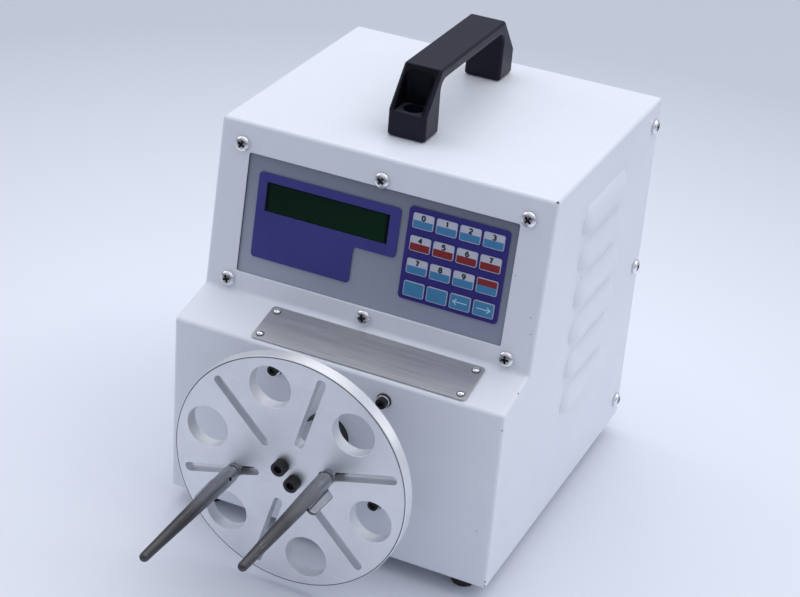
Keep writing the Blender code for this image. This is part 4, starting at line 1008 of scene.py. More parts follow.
def plain_metal(name, colour, second, roughness, spread=0.06, scale=700.0, tone_scale=60.0, metallic=1.0):
    """Ground, plated or blackened metal with a slow tone, and edges lighter for wear and for a painted
    highlight.
    """
    finish, tree, place = new_finish(name, metallic=metallic)
    grain = place_group(tree, "grain", place, scale=scale, tone_scale=tone_scale)
    edges = place_group(tree, "edges", place, radius=0.0004, scale=600.0)["Mask"]
    tone = blend_colour(tree, grain["Tone"], colour, second)
    light = tuple(min(1.0, 1.5 * c + 0.06) for c in colour)
    mixed = tinted(tree, tone, edges, 0.5, light)
    rough = between(tree, grain["Tone"], roughness - spread, roughness + spread)
    return complete(finish, mixed, rough, grain["Height"], depth=0.00002, strength=0.25)


def plated_head():
    """A bright plated screw head, with a painted dark reflection around its recess."""
    finish, tree, place = new_finish("bright plated screw", metallic=1.0)
    x, y = parts_of(tree, place)[:2]
    # Painted dark reflection: the head darkens towards its middle, with a ragged edge.
    patches = remap(tree, noise(tree, place, 520.0, 3.0, 0.6), 0.3, 0.7, -dark_reflection_ragged, dark_reflection_ragged)
    radius = calculate(tree, "ADD", length_of(tree, x, y), patches)
    dark_reflection = remap(tree, radius, dark_reflection_outer, dark_reflection_inner, 0.0, 0.62)
    grain = place_group(tree, "grain", place, scale=1500.0, tone_scale=300.0)
    colour = blend_colour(tree, grain["Tone"], (0.95, 0.95, 0.97), (0.85, 0.85, 0.88))
    colour = blend_colour(tree, dark_reflection, colour, (0.07, 0.07, 0.08))
    rough = between(tree, grain["Tone"], 0.07, 0.14)
    return complete(finish, colour, rough, grain["Height"], depth=0.00002, strength=0.25)


def turned_metal(name, colour, second, roughness, along, ring_scale, marks=0.05, metallic=1.0):
    """Lathe-turned metal: rings, a slow tone, hairline scratches, and edges lighter for wear and for a
    painted highlight.
    """
    finish, tree, place = new_finish(name, metallic=metallic)
    rings = place_group(tree, "rings", place, scale=ring_scale, along=along)["Value"]
    grain = place_group(tree, "grain", place, scale=1500.0, tone_scale=45.0)
    lines = place_group(tree, "scratches", place, scale=70.0, share=marks)["Mask"]
    edges = place_group(tree, "edges", place, radius=0.0004, scale=500.0)["Mask"]
    tone = blend_colour(tree, grain["Tone"], colour, second)
    tone = tinted(tree, tone, rings, 0.16, tuple(0.8 * c for c in colour))
    light = tuple(min(1.0, 1.25 * c + 0.04) for c in colour)
    mixed = blend_colour(tree, either(tree, lines, 0.35, edges, 0.5), tone, light)
    rough = between(tree, rings, roughness - 0.05, roughness + 0.06)
    return complete(finish, mixed, rough, rings, depth=0.00001, strength=0.25)


def finger_steel():
    """Turned steel, paler at the finger's root and stained darker towards its tip."""
    finish, tree, place = new_finish("turned finger steel", metallic=1.0)
    rings = place_group(tree, "rings", place, scale=2600.0, along=1.0)["Value"]
    lines = place_group(tree, "scratches", place, scale=70.0, share=0.04)["Mask"]
    edges = place_group(tree, "edges", place, radius=0.0004, scale=500.0)["Mask"]
    streaks = stretched(tree, place, (1.0, 1.0, 0.18))
    stain = remap(tree, noise(tree, streaks, 420.0, 4.0, 0.6), 0.35, 0.65)
    reach = remap(tree, parts_of(tree, place)["Z"], finger_stain_start, finger_stain_end)
    colour = blend_colour(tree, reach, (0.44, 0.455, 0.50), (0.060, 0.059, 0.061))
    colour = tinted(tree, colour, stain, 0.4, (0.09, 0.089, 0.09))
    colour = tinted(tree, colour, rings, 0.08, (0.5, 0.5, 0.53))
    # Scratches, and edges lighter for wear and for a painted highlight.
    colour = blend_colour(tree, either(tree, lines, 0.3, edges, 0.5), colour, (0.62, 0.62, 0.65))
    rough = between(tree, stain, 0.32, 0.46)
    return complete(finish, colour, rough, rings, depth=0.00001, strength=0.25)


def lever_steel():
    """Ground steel, with painted shade where the lever leaves the finger's groove, and edges lighter for
    wear and for a painted highlight.
    """
    finish, tree, place = new_finish("ground lever steel", metallic=1.0)
    grain = place_group(tree, "grain", place, scale=900.0, tone_scale=160.0)
    edges = place_group(tree, "edges", place, radius=0.0004, scale=600.0)["Mask"]
    # Painted shade: a dark band across the lever where it leaves the finger's groove.
    x = parts_of(tree, place)["X"]
    starts = remap(tree, x, groove_shade_inner, groove_shade_inner + groove_shade_fade)
    ends = remap(tree, x, groove_shade_outer, groove_shade_outer - groove_shade_fade)
    groove_shade = times(tree, times(tree, starts, ends), 0.85)
    colour = blend_colour(tree, grain["Tone"], (0.68, 0.69, 0.72), (0.57, 0.58, 0.61))
    colour = tinted(tree, colour, edges, 0.5, (0.9, 0.9, 0.92))
    colour = blend_colour(tree, groove_shade, colour, (0.05, 0.05, 0.055))
    rough = between(tree, grain["Tone"], 0.27, 0.37)
    return complete(finish, colour, rough, grain["Height"], depth=0.00002, strength=0.25)


def brushed_plate():
    """A bare stainless plate, brushed along its length."""
    finish, tree, place = new_finish("brushed nameplate", metallic=1.0)
    streaks = place_group(tree, "brushed", place, scale=40.0)["Value"]
    grain = place_group(tree, "grain", place, scale=1500.0, tone_scale=24.0)
    lines = place_group(tree, "scratches", place, scale=55.0, share=0.05)["Mask"]
    colour = blend_colour(tree, streaks, (0.40, 0.40, 0.42), (0.58, 0.58, 0.60))
    colour = tinted(tree, colour, grain["Tone"], 0.3, (0.46, 0.46, 0.49))
    colour = tinted(tree, colour, lines, 0.2, (0.78, 0.78, 0.8))
    rough = between(tree, streaks, 0.34, 0.46)
    return complete(finish, colour, rough, streaks, depth=0.00002, strength=0.3)


def laminated_steel():
    """A motor's stacked laminations, which show as fine lines around its sides."""
    finish, tree, place = new_finish("laminated core", metallic=0.7)
    y = parts_of(tree, place)["Y"]
    layers = calculate(tree, "SINE", times(tree, y, 9000.0))
    grain = place_group(tree, "grain", place, scale=900.0, tone_scale=50.0)
    dark = remap(tree, layers, -1.0, 1.0)
    colour = blend_colour(tree, dark, (0.10, 0.10, 0.11), (0.26, 0.26, 0.28))
    colour = tinted(tree, colour, grain["Tone"], 0.3, (0.2, 0.18, 0.17))
    rough = between(tree, grain["Tone"], 0.4, 0.55)
    return complete(finish, colour, rough, layers, depth=0.0001, strength=0.5)


def solder_mask():
    """A green circuit board with faint tracks."""
    finish, tree, place = new_finish("green circuit board", coat=0.3)
    lines = add_node(tree, "ShaderNodeTexBrick", {"Vector": place, "Scale": 260.0})
    lines.inputs["Mortar Size"].default_value = 0.06
    grain = place_group(tree, "grain", place, scale=900.0, tone_scale=90.0)
    colour = blend_colour(tree, lines.outputs["Fac"], (0.008, 0.09, 0.04), (0.02, 0.2, 0.09))
    colour = tinted(tree, colour, grain["Tone"], 0.3, (0.01, 0.07, 0.03))
    rough = between(tree, grain["Tone"], 0.3, 0.42)
    return complete(finish, colour, rough, lines.outputs["Fac"], depth=0.00004, strength=0.4)


def foot_rubber():
    """Matt moulded rubber, its edges lighter for dusty wear and for a painted highlight."""
    finish, tree, place = new_finish("moulded rubber")
    grain = place_group(tree, "grain", place, scale=1800.0, tone_scale=160.0)
    edges = place_group(tree, "edges", place, radius=0.0006, scale=500.0)["Mask"]
    colour = blend_colour(tree, grain["Tone"], (0.012, 0.012, 0.013), (0.022, 0.022, 0.023))
    colour = tinted(tree, colour, edges, 0.5, (0.07, 0.07, 0.072))
    rough = between(tree, grain["Tone"], 0.72, 0.86)
    return complete(finish, colour, rough, grain["Height"], depth=0.00008, strength=0.5)


finishes = {
    "white": powder_coat(),
    "panel": painted_panel(),
    "violet": printed_film("violet film", (0.050, 0.050, 0.245), (0.044, 0.043, 0.22)),
    "deep violet": printed_film("deep violet film", (0.034, 0.024, 0.195), (0.029, 0.020, 0.175)),
    "display": display_face(),
    "dark ink": ink("dark ink", (0.006, 0.006, 0.012)),
    "pale ink": ink("pale ink", (0.42, 0.60, 0.74)),
    "white ink": ink("white ink", (0.6, 0.62, 0.66)),
    "handle": moulded_plastic(
        "black moulded plastic", (0.0062, 0.0066, 0.0185), (0.03, 0.032, 0.055), 0.36, 0.2
    ),
    "fitting": moulded_plastic("black fitting plastic", (0.012, 0.012, 0.014), (0.05, 0.05, 0.055), 0.38),
    "module": moulded_plastic("black module frame", (0.03, 0.03, 0.033), (0.1, 0.1, 0.11), 0.4),
    "nameplate": brushed_plate(),
    "screw": plated_head(),
    "chrome": plain_metal("bright plated steel", (0.80, 0.80, 0.82), (0.70, 0.70, 0.73), 0.12, 0.04),
    "recess": plain_metal("shaded recess", (0.045, 0.045, 0.05), (0.08, 0.08, 0.085), 0.45, 0.08),
    # Painted light: a lighter copy of the disc's metal for the walls of its slots and holes.
    "cut wall": plain_metal("painted light cut wall", (0.84, 0.845, 0.87), (0.77, 0.775, 0.80), 0.55, 0.02),
    # Painted shade: a dark line at the disc's edge and on the levers' narrow sides.
    "edge line": plain_metal("painted shade edge line", (0.085, 0.09, 0.105), (0.15, 0.15, 0.17), 0.4),
    # Painted shadow: a dark line on the window's cut walls.
    "gap": moulded_plastic("painted window shadow", (0.012, 0.012, 0.028), (0.02, 0.02, 0.04), 0.5, 0.2),
    # Painted shade: the handle's pocket walls, darker than its body.
    "pocket": moulded_plastic(
        "painted shade pocket wall", (0.0025, 0.0027, 0.005), (0.01, 0.011, 0.018), 0.42, 0.1
    ),
    # A lighter pocket ledge: dust, and painted light.
    "ledge": moulded_plastic("dusty pocket ledge with painted light", (0.022, 0.024, 0.030), (0.05, 0.055, 0.06), 0.5, 0.3),
    "black screw": plain_metal(
        "black oxide", (0.022, 0.022, 0.025), (0.032, 0.031, 0.033), 0.42, 0.08, metallic=0.6
    ),
    "motor case": plain_metal(
        "blackened motor case", (0.03, 0.03, 0.034), (0.045, 0.045, 0.05), 0.5, metallic=0.5
    ),
    "zinc": plain_metal("zinc plate", (0.46, 0.47, 0.50), (0.38, 0.39, 0.42), 0.36, 0.1, 500.0, 130.0),
    "washer": plain_metal("plain steel washer", (0.40, 0.41, 0.44), (0.31, 0.32, 0.35), 0.4),
    "steel": plain_metal("ground steel", (0.62, 0.62, 0.64), (0.54, 0.54, 0.57), 0.24),
    "disc": turned_metal(
        "satin aluminium disc", (0.80, 0.81, 0.845), (0.72, 0.73, 0.77), 0.46, 0.0, 3200.0
    ),
    # Painted highlight: a lighter copy of the disc's aluminium for its rim.
    "disc rim": turned_metal(
        "painted highlight aluminium rim", (0.93, 0.935, 0.95), (0.87, 0.875, 0.90), 0.42, 1.0, 4200.0
    ),
    "hub": turned_metal("turned aluminium hub", (0.64, 0.65, 0.68), (0.58, 0.59, 0.63), 0.32, 1.0, 4200.0),
    "finger": finger_steel(),
    "lever": lever_steel(),
    "core": laminated_steel(),
    "board": solder_mask(),
    "rubber": foot_rubber(),
    "light blue key": key_film("light blue key", (0.52, 0.535, 0.63), (0.052, 0.215, 0.43)),
    "red key": key_film("red key", (0.52, 0.535, 0.63), (0.235, 0.016, 0.019)),
    "red over blue key": key_film("red over blue key", (0.235, 0.016, 0.019), (0.052, 0.215, 0.43)),
    "blue key": key_film("blue key", (0.054, 0.225, 0.43), (0.056, 0.23, 0.44)),
}


# Places that pieces share


def grid(xs, ys, height=0.0):
    return [(x, y, height) for x in xs for y in ys]


def polar(radius, degrees, height=0.0):
    angle = math.radians(degrees)
    return (radius * math.cos(angle), radius * math.sin(angle), height)


def foot_places(height=0.0):
    half = case_width / 2 - foot_side_inset
    return grid((-half, half), (foot_end_inset, case_depth - foot_end_inset), height)


def handle_hole_places(height=0.0):
    far = handle_front + handle_length - handle_hole_inset
    return grid((handle_offset,), (handle_front + handle_hole_inset, far), height)


def panel_screw_places(height=0.0):
    half = panel_screw_span / 2
    return grid((-half, 0, half), (panel_screw_low, panel_screw_high), height)


def motor_screw_places(height=0.0):
    half = motor_screw_span / 2
    return grid((-half, half), (-half, half), height)


def rivet_places(height=0.0):
    inset = nameplate_hole_inset
    xs = (nameplate_left + inset, nameplate_right - inset)
    return grid(xs, (nameplate_low + inset, nameplate_high - inset), height)


def key_places(height=0.0):
    rows = [key_first_row - i * key_row_pitch for i in range(key_rows)]
    columns = [key_first_column + i * key_column_pitch for i in range(key_columns)]
    return [(x, y, height) for y in rows for x in columns]


def disc_screw_places(height=0.0):
    return [polar(disc_screw_circle, disc_screw_turn + turn, height) for turn in (0, 180)]


def side_screw_places(distance):
    """Places on both sides of the case, with Z pointing out of the side."""
    places = []
    for height in side_screw_heights:
        for side in (1, -1):
            turn = Matrix.Rotation(side * quarter, 4, "Y")
            point = (side * distance, case_depth - side_screw_inset, height)
            places.append(Matrix.Translation(point) @ turn)
    return places


def turned_by(count, first, step=0):
    """A turn around Z that differs from one copy to the next."""
    return Matrix.Rotation(math.radians(first + step * count), 4, "Z")


# Fasteners: the head stands on Z = 0


def dome(radius, height, edge, steps=8):
    """The profile of a low dome from its top to its rim."""
    return [
        (radius * math.sin(quarter * i / steps), edge + (height - edge) * math.cos(quarter * i / steps))
        for i in range(steps + 1)
    ]


def cross_outline(reach, wing):
    corners = []
    for turn in range(4):
        for x, y in ((reach, -wing), (reach, wing), (wing, wing)):
            cosine, sine = math.cos(quarter * turn), math.sin(quarter * turn)
            corners.append((x * cosine - y * sine, x * sine + y * cosine))
    return corners


def pan_screw():
    """A domed head with a tapered cross recess, whose walls are its second material."""
    profile = dome(pan_head_radius, pan_head_height, pan_edge_height)
    profile += [(pan_head_radius, 0), (m4_radius, 0)]
    head = turned(profile + [(m4_radius, -pan_screw_length), (0, -pan_screw_length)], 48)
    top, floor = pan_head_height + overrun, pan_head_height - cross_depth
    spread = overrun / cross_depth
    narrow = cross_outline(cross_reach * cross_floor_share, cross_wing * cross_wing_floor_share)
    reach, wing = 1 + cross_flare_share * spread, 1 + cross_wing_flare_share * spread
    wide = cross_outline(cross_reach * reach, cross_wing * wing)
    mesh = bevelled(carved(head, cuts=[loft([(narrow, floor), (wide, top)])]), pan_edge, 2)
    # The recess's walls wear the second finish, the shaded recess: painted shade.
    for face in mesh.polygons:
        x, y, z = face.center
        radius = math.hypot(x, y)
        rise = math.sqrt(max(0.0, 1 - (radius / pan_head_radius) ** 2))
        domed = pan_edge_height + (pan_head_height - pan_edge_height) * rise
        within = radius < cross_reach * cross_wall_share
        face.material_index = int(within and 0 < z < domed - cross_wall_skin)
    return mesh


def socket_screw(head_radius, head_height, radius, length):
    """A socket-head screw with a softly chamfered head."""
    edge = head_height * cap_edge_share
    profile = [(0, head_height)]
    profile += [(head_radius - edge + x, head_height - edge + y) for x, y in arc((0, 0), edge, 90, 0, 4)]
    profile += [(head_radius, 0), (radius, 0), (radius, -length), (0, -length)]
    body = turned(profile, 64)
    socket_radius = head_radius * hex_share
    floor = head_height * (1 - socket_share)
    socket = loft(
        [
            (ring(socket_radius, 6), floor),
            (ring(socket_radius, 6), head_height - edge * socket_rim_low),
            (ring(socket_radius + edge, 6), head_height + edge * socket_rim_high),
        ]
    )
    return carved(body, cuts=[socket])


def ring_washer(radius, low, high):
    """A washer for an M4 screw, with its outer edges broken."""
    inset = radius - washer_edge
    upper = [(m4_radius, high), (inset, high), (radius, high - washer_edge)]
    lower = [(radius, low + washer_edge), (inset, low), (m4_radius, low)]
    return turned(upper + lower, 64)


# The case


def side_outline():
    return [
        (0, 0),
        (case_depth, 0),
        (case_depth, case_height),
        (shelf_depth + panel_setback, case_height),
        (shelf_depth, front_height + shelf_rise),
        (0, front_height),
    ]


def case_skin():
    """The case's outer skin: open at the back, with a rim turned in around the bottom."""
    skin = moved(prism(side_outline(), -case_width / 2, case_width / 2), across)
    bottom = min(skin.faces, key=lambda face: face.calc_center_median().z)
    back = max(skin.faces, key=lambda face: face.calc_center_median().y)
    bmesh.ops.inset_individual(skin, faces=[bottom], thickness=bottom_flange)
    rims = [edge.link_faces for edge in bottom.edges]
    strips = {face for pair in rims for face in pair} - {bottom}
    rear_strip = max(strips, key=lambda face: face.calc_center_median().y)
    bmesh.ops.delete(skin, geom=[bottom, back, rear_strip], context="FACES")
    return skin


def folded_sheet(skin, radius, segments):
    """A skin with rounded bends, thickened inwards."""
    blank = placed("blank", as_mesh("blank", skin))
    bends = blank.modifiers.new("bends", "BEVEL")
    bends.width = radius
    bends.segments = segments
    bends.limit_method = "ANGLE"
    walls = blank.modifiers.new("walls", "SOLIDIFY")
    walls.thickness = sheet
    walls.offset = -1
    walls.use_even_offset = True
    return applied(blank)


def louvre_form(inwards, root):
    """A pressed hood that blends into the wall, open along its straight lower edge."""
    form = bmesh.new()
    half = louvre_straight / 2
    columns = [(half, math.radians(90 * i / louvre_columns)) for i in range(louvre_columns + 1)]
    columns += [(half * (1 - 2 * i / louvre_columns), quarter) for i in range(1, louvre_columns)]
    columns += [(-half, quarter + math.radians(90 * i / louvre_columns)) for i in range(louvre_columns + 1)]
    rows = []
    for base, turn in columns:
        row = []
        for i in range(louvre_rings + 1):
            share = math.sin(quarter * i / louvre_rings)
            y = base + share * louvre_end * math.cos(turn)
            z = share * louvre_height * math.sin(turn)
            x = (louvre_throw + louvre_sink) * (1 - share**2) ** louvre_blend - louvre_sink
            row.append(form.verts.new((x - inwards, y, z)))
        rows.append(row)
    for first, second in zip(rows, rows[1:]):
        for i in range(louvre_rings):
            form.faces.new((first[i], first[i + 1], second[i + 1], second[i]))
    bmesh.ops.remove_doubles(form, verts=form.verts, dist=merge_distance)
    grown = bmesh.ops.extrude_face_region(form, geom=list(form.faces))["geom"]
    for item in grown:
        if isinstance(item, bmesh.types.BMVert):
            item.co.x = root
    bmesh.ops.recalc_face_normals(form, faces=form.faces)
    return form


def louvre_places(drop=0.0):
    places = []
    for i in range(louvre_count):
        lip = louvre_low_lip + i * louvre_pitch - drop
        place = Matrix.Translation((case_width / 2, louvre_middle, lip))
        places += [place, mirrored @ place]
    return places


def make_case():
    skin = folded_sheet(case_skin(), bend_radius, 6)
    hoods = copies(louvre_form(0.0, -sheet / 2), louvre_places())
    voids = copies(louvre_form(sheet, -sheet * 2), louvre_places(seat_gap))
    to_panel = case_axes.inverted() @ panel_axes
    to_shelf = case_axes.inverted() @ shelf_axes
    to_front = case_axes.inverted() @ spindle_axes
    half = window_width / 2
    low, high = -sheet - overrun, overrun

    def window_at(grow):
        return rounded_rectangle(-half, half, window_low, window_high, window_corner, grow)

    def hole_at(radius):
        return lambda grow: ring(radius + grow, 32)

    m4_bore, m3_bore, m6_bore = (radius + hole_clearance for radius in (m4_radius, m3_radius, m6_radius))
    m4_hole = hole_at(m4_bore)
    window = moved(pierced(window_at, low, 0.0, sheet_edge), to_panel)
    window_top = moved(prism(window_at(sheet_edge * 2), sheet_edge, high), to_panel)
    panel_holes = moved(copies(pierced(m4_hole, low, 0.0, hole_flare), panel_screw_places()), to_panel)
    rivet_holes = moved(copies(cylinder(m3_bore, low, high, 24), rivet_places()), to_shelf)
    motor_holes = moved(copies(cylinder(m4_bore, low, high, 24), motor_screw_places()), to_front)
    boss_hole = moved(cylinder(motor_boss_radius + seat_gap, low, high, 64), to_front)
    foot_holes = copies(cylinder(m4_bore, -overrun, sheet + overrun, 24), foot_places())
    handle_hole = cylinder(m6_bore, case_height + low, case_height + high, 24)
    side_hole = cylinder(m4_bore, low, high, 24)
    cuts = [
        voids,
        window,
        window_top,
        gather(panel_holes, rivet_holes, motor_holes, boss_hole, foot_holes),
        copies(handle_hole, handle_hole_places()),
        copies(side_hole, side_screw_places(case_width / 2)),
    ]
    mesh = carved(skin, joins=[hoods], cuts=cuts)
    painted_light_extras = {"replaces": ["main_cover"], "others": ["gap"]}
    cover = piece("case_cover", mesh, case_axes, "machine", "white", "white_case", smooth=28, **painted_light_extras)
    # The window's cut walls, all but the lowest, wear the second finish: a painted shadow line around the
    # window.
    from_panel = to_panel.inverted()
    for face in cover.data.polygons:
        x, y, z = from_panel @ face.center
        way = from_panel.to_3x3() @ face.normal
        beside = abs(x) < half + overrun and window_low - overrun < y < window_high + overrun
        if beside and -sheet < z < -sheet_edge / 2 and abs(way.z) < wall_most_up and way.y < wall_most_back:
            face.material_index = 1


def make_control_plate():
    """The grey plate, its six screws, the violet label and the display."""
    half = plate_width / 2
    outline = rounded_rectangle(-half, half, plate_low, plate_high, plate_corner)
    display = rounded_rectangle(display_left, display_right, display_low, display_high, opening_corner)
    sides = (keypad_left, keypad_right, keypad_low, keypad_high)
    keypad = rounded_rectangle(*sides, opening_corner, -keypad_lap)
    cuts = [prism(display, plate_back - overrun, overrun), prism(keypad, plate_back - overrun, overrun)]
    plate = carved(prism(outline, plate_back, plate_face), cuts=cuts)
    piece("control_plate", plate, panel_axes, "machine", "panel", "grey_panel", ["panel_plate"])
    screw = as_mesh("pan_screw", pan_screw())
    for i, place in enumerate(panel_screw_places(seat_gap)):
        axes = panel_axes @ Matrix.Translation(place) @ turned_by(i, *panel_screw_turns)
        name = f"panel_screw_{i + 1}"
        piece(name, screw.copy(), axes, "machine", "screw", "bright_steel", others=["recess"])
    make_label(display)


def make_label(display):
    """The stepped violet label and the display's window in it."""
    corners = [
        (label_left, label_low),
        (label_step_right, label_low),
        (label_step_right, label_step_height),
        (label_right, label_step_height),
        (label_right, label_high),
        (label_left, label_high),
    ]
    outline = rounded_outline([(x, y, overlay_corner) for x, y in corners])
    label = carved(
        prism(outline, overlay_back, overlay_face),
        cuts=[prism(display, overlay_back - overrun, overlay_face + overrun)],
    )
    piece("label_film", label, panel_axes, "machine", "violet", "violet_print", ["function_label"])
    sides = (display_left, display_right, display_low, display_high)

    def glass_at(grow):
        return rounded_rectangle(*sides, opening_corner, grow - seat_gap)

    glass = slab(glass_at, plate_back, overlay_face - seat_gap, glass_edge, 2)
    piece("display_glass", glass, panel_axes, "machine", "display", "display_glass", ["display_window"])


# The keypad

key_faces = (
    ("0", "1", "2", "3"),
    ("4", "5", "6", "7"),
    ("7", "8", "9", ""),
    ("", "", "left", "right"),
)
key_finishes = (
    ("light blue key",) * 4,
    ("red key",) * 4,
    ("light blue key",) * 3 + ("red over blue key",),
    ("blue key",) * 4,
)


def key_cap():
    """A key cap with soft edges."""
    half_width, half_height = key_width / 2, key_height / 2

    def cap_at(grow):
        return rounded_rectangle(-half_width, half_width, -half_height, half_height, key_corner, grow)

    return slab(cap_at, overlay_back - seat_gap, overlay_face + key_proud, key_edge, 4)


def oval(x, y, half_width, half_height, start, end, steps=20):
    return [(x + half_width * u, y + half_height * v) for u, v in arc((0, 0), 1, start, end, steps)]


# Centre lines of the digits, one unit high
six = [oval(0, -0.2, 0.27, 0.3, 0, 360), oval(0.17, -0.2, 0.44, 0.7, 90, 180)]
digit_strokes = {
    "0": [oval(0, 0, 0.28, 0.5, 0, 360)],
    "1": [[(-0.17, 0.30), (0.05, 0.5), (0.05, -0.5)]],
    "2": [oval(0, 0.22, 0.27, 0.28, 165, -40) + [(-0.28, -0.5), (0.29, -0.5)]],
    "3": [oval(-0.02, 0.25, 0.25, 0.25, 150, -90) + oval(-0.02, -0.25, 0.28, 0.25, 90, -150)],
    "4": [[(0.13, -0.5), (0.13, 0.5), (-0.30, -0.20), (0.31, -0.20)]],
    "5": [[(0.25, 0.5), (-0.20, 0.5), (-0.24, 0.03)] + oval(0, -0.18, 0.28, 0.32, 135, -150)],
    "6": six,
    "7": [[(-0.28, 0.5), (0.28, 0.5), (-0.06, -0.5)]],
    "8": [oval(0, 0.26, 0.23, 0.24, 0, 360), oval(0, -0.24, 0.28, 0.26, 0, 360)],
    "9": [[(-x, -y) for x, y in stroke] for stroke in six],
}


def spaced(stroke, step):
    """The stroke with points put in, so that corners don't thin the lines beside them."""
    points = [stroke[0]]
    for (x, y), (far_x, far_y) in zip(stroke, stroke[1:]):
        count = max(1, math.ceil(math.dist((x, y), (far_x, far_y)) / step))
        points += [(x + (far_x - x) * i / count, y + (far_y - y) * i / count) for i in range(1, count + 1)]
    return points


def printed(strokes, size, weight):
    """Printed lines: flattened tubes of one weight along the strokes, lying on Z = 0."""
    curve = bpy.data.curves.new("strokes", "CURVE")
    curve.dimensions = "3D"
    curve.bevel_depth = weight / 2
    curve.bevel_resolution = 2
    curve.use_fill_caps = True
    for stroke in strokes:
        stroke = spaced(stroke, weight / size / 3)
        closed = math.dist(stroke[0], stroke[-1]) < stroke_gap
        points = stroke[:-1] if closed else stroke
        line = curve.splines.new("POLY")
        line.points.add(len(points) - 1)
        for point, (x, y) in zip(line.points, points):
            point.co = (x * size, y * size, 0, 1)
        line.use_cyclic_u = closed
    mesh = applied(placed("strokes", curve))
    bpy.data.curves.remove(curve)
    mesh.transform(Matrix.Scale(print_flat, 4, (0, 0, 1)))
    return mesh


def arrow_mesh(direction):
    """A printed arrow with a thin shaft and an open head."""
    sign = 1 if direction == "right" else -1
    barb_x, barb_y = sign * (arrow_half - arrow_barb * arrow_barb_run), arrow_barb * arrow_barb_rise
    tip = (sign * arrow_half, 0)
    shaft = [(-sign * arrow_half, 0), tip]
    return printed([shaft, [(barb_x, barb_y), tip, (barb_x, -barb_y)]], 1, arrow_weight)


def make_keypad():
    overlay = rounded_rectangle(keypad_left, keypad_right, keypad_low, keypad_high, overlay_corner)
    half_width, half_height = key_width / 2 + key_room, key_height / 2 + key_room
    opening = rounded_rectangle(-half_width, half_width, -half_height, half_height, key_corner)
    hole = prism(opening, overlay_back - overrun, overlay_face + overrun)
    film = carved(prism(overlay, overlay_back, overlay_face), cuts=[copies(hole, key_places())])
    piece("keypad_film", film, panel_axes, "machine", "deep violet", "violet_print", ["keypad_overlay"])
    cap = as_mesh("key_cap", key_cap())
    top = overlay_face + key_proud
    for i, place in enumerate(key_places()):
        row, column = divmod(i, key_columns)
        node = f"key_row_{row + 1}_column_{column + 1}"
        axes = panel_axes @ Matrix.Translation(place)
        finish = key_finishes[row][column]
        piece(f"cap_{row + 1}_{column + 1}", cap.copy(), axes, node, finish, "key_print", [node])
        mark = key_faces[row][column]
        if mark.isdigit():
            on_key = axes @ Matrix.Translation((0, digit_rise, top))
            mesh = printed(digit_strokes[mark], digit_height, digit_weight)
            mesh.transform(Matrix.Scale(digit_spread, 4, (1, 0, 0)))
            piece(f"digit_{row + 1}_{column + 1}", mesh, on_key, node, "dark ink", "key_print")
        elif mark:
            on_key = axes @ Matrix.Translation((0, 0, top))
            piece(f"arrow_{row + 1}_{column + 1}", arrow_mesh(mark), on_key, node, "pale ink", "key_print")


def make_nameplate():
    """The bare brushed plate on the shelf with its four domed rivets."""
    top = seat_gap + nameplate_thickness

    def plate_at(grow):
        return rounded_rectangle(
            nameplate_left, nameplate_right, nameplate_low, nameplate_high, nameplate_corner, grow
        )

    plate = slab(plate_at, seat_gap, top, nameplate_edge, 3)
    piece("nameplate_sheet", plate, shelf_axes, "machine", "nameplate", "nameplate_steel", ["nameplate"])
    seam = rivet_radius + rivet_seam
    profile = dome(rivet_radius, rivet_height, rivet_edge)
    profile += [(rivet_radius, rivet_foot), (seam, rivet_seam_rise), (seam, 0)]
    profile += [(m3_radius, 0), (m3_radius, -rivet_length), (0, -rivet_length)]
    mesh = as_mesh("rivet", turned(profile, 48))
    for i, place in enumerate(rivet_places(top)):
        axes = shelf_axes @ Matrix.Translation(place)
        name = f"nameplate_rivet_{i + 1}"
        made = piece(name, mesh.copy(), axes, "machine", "chrome", "bright_steel", others=["recess"])
        # Faces at and beyond each rivet's rim wear the shaded recess finish: a painted dark outline.
        for face in made.data.polygons:
            face.material_index = int(math.hypot(*face.center.xy) > rivet_radius * rivet_seam_share)


# The carry handle


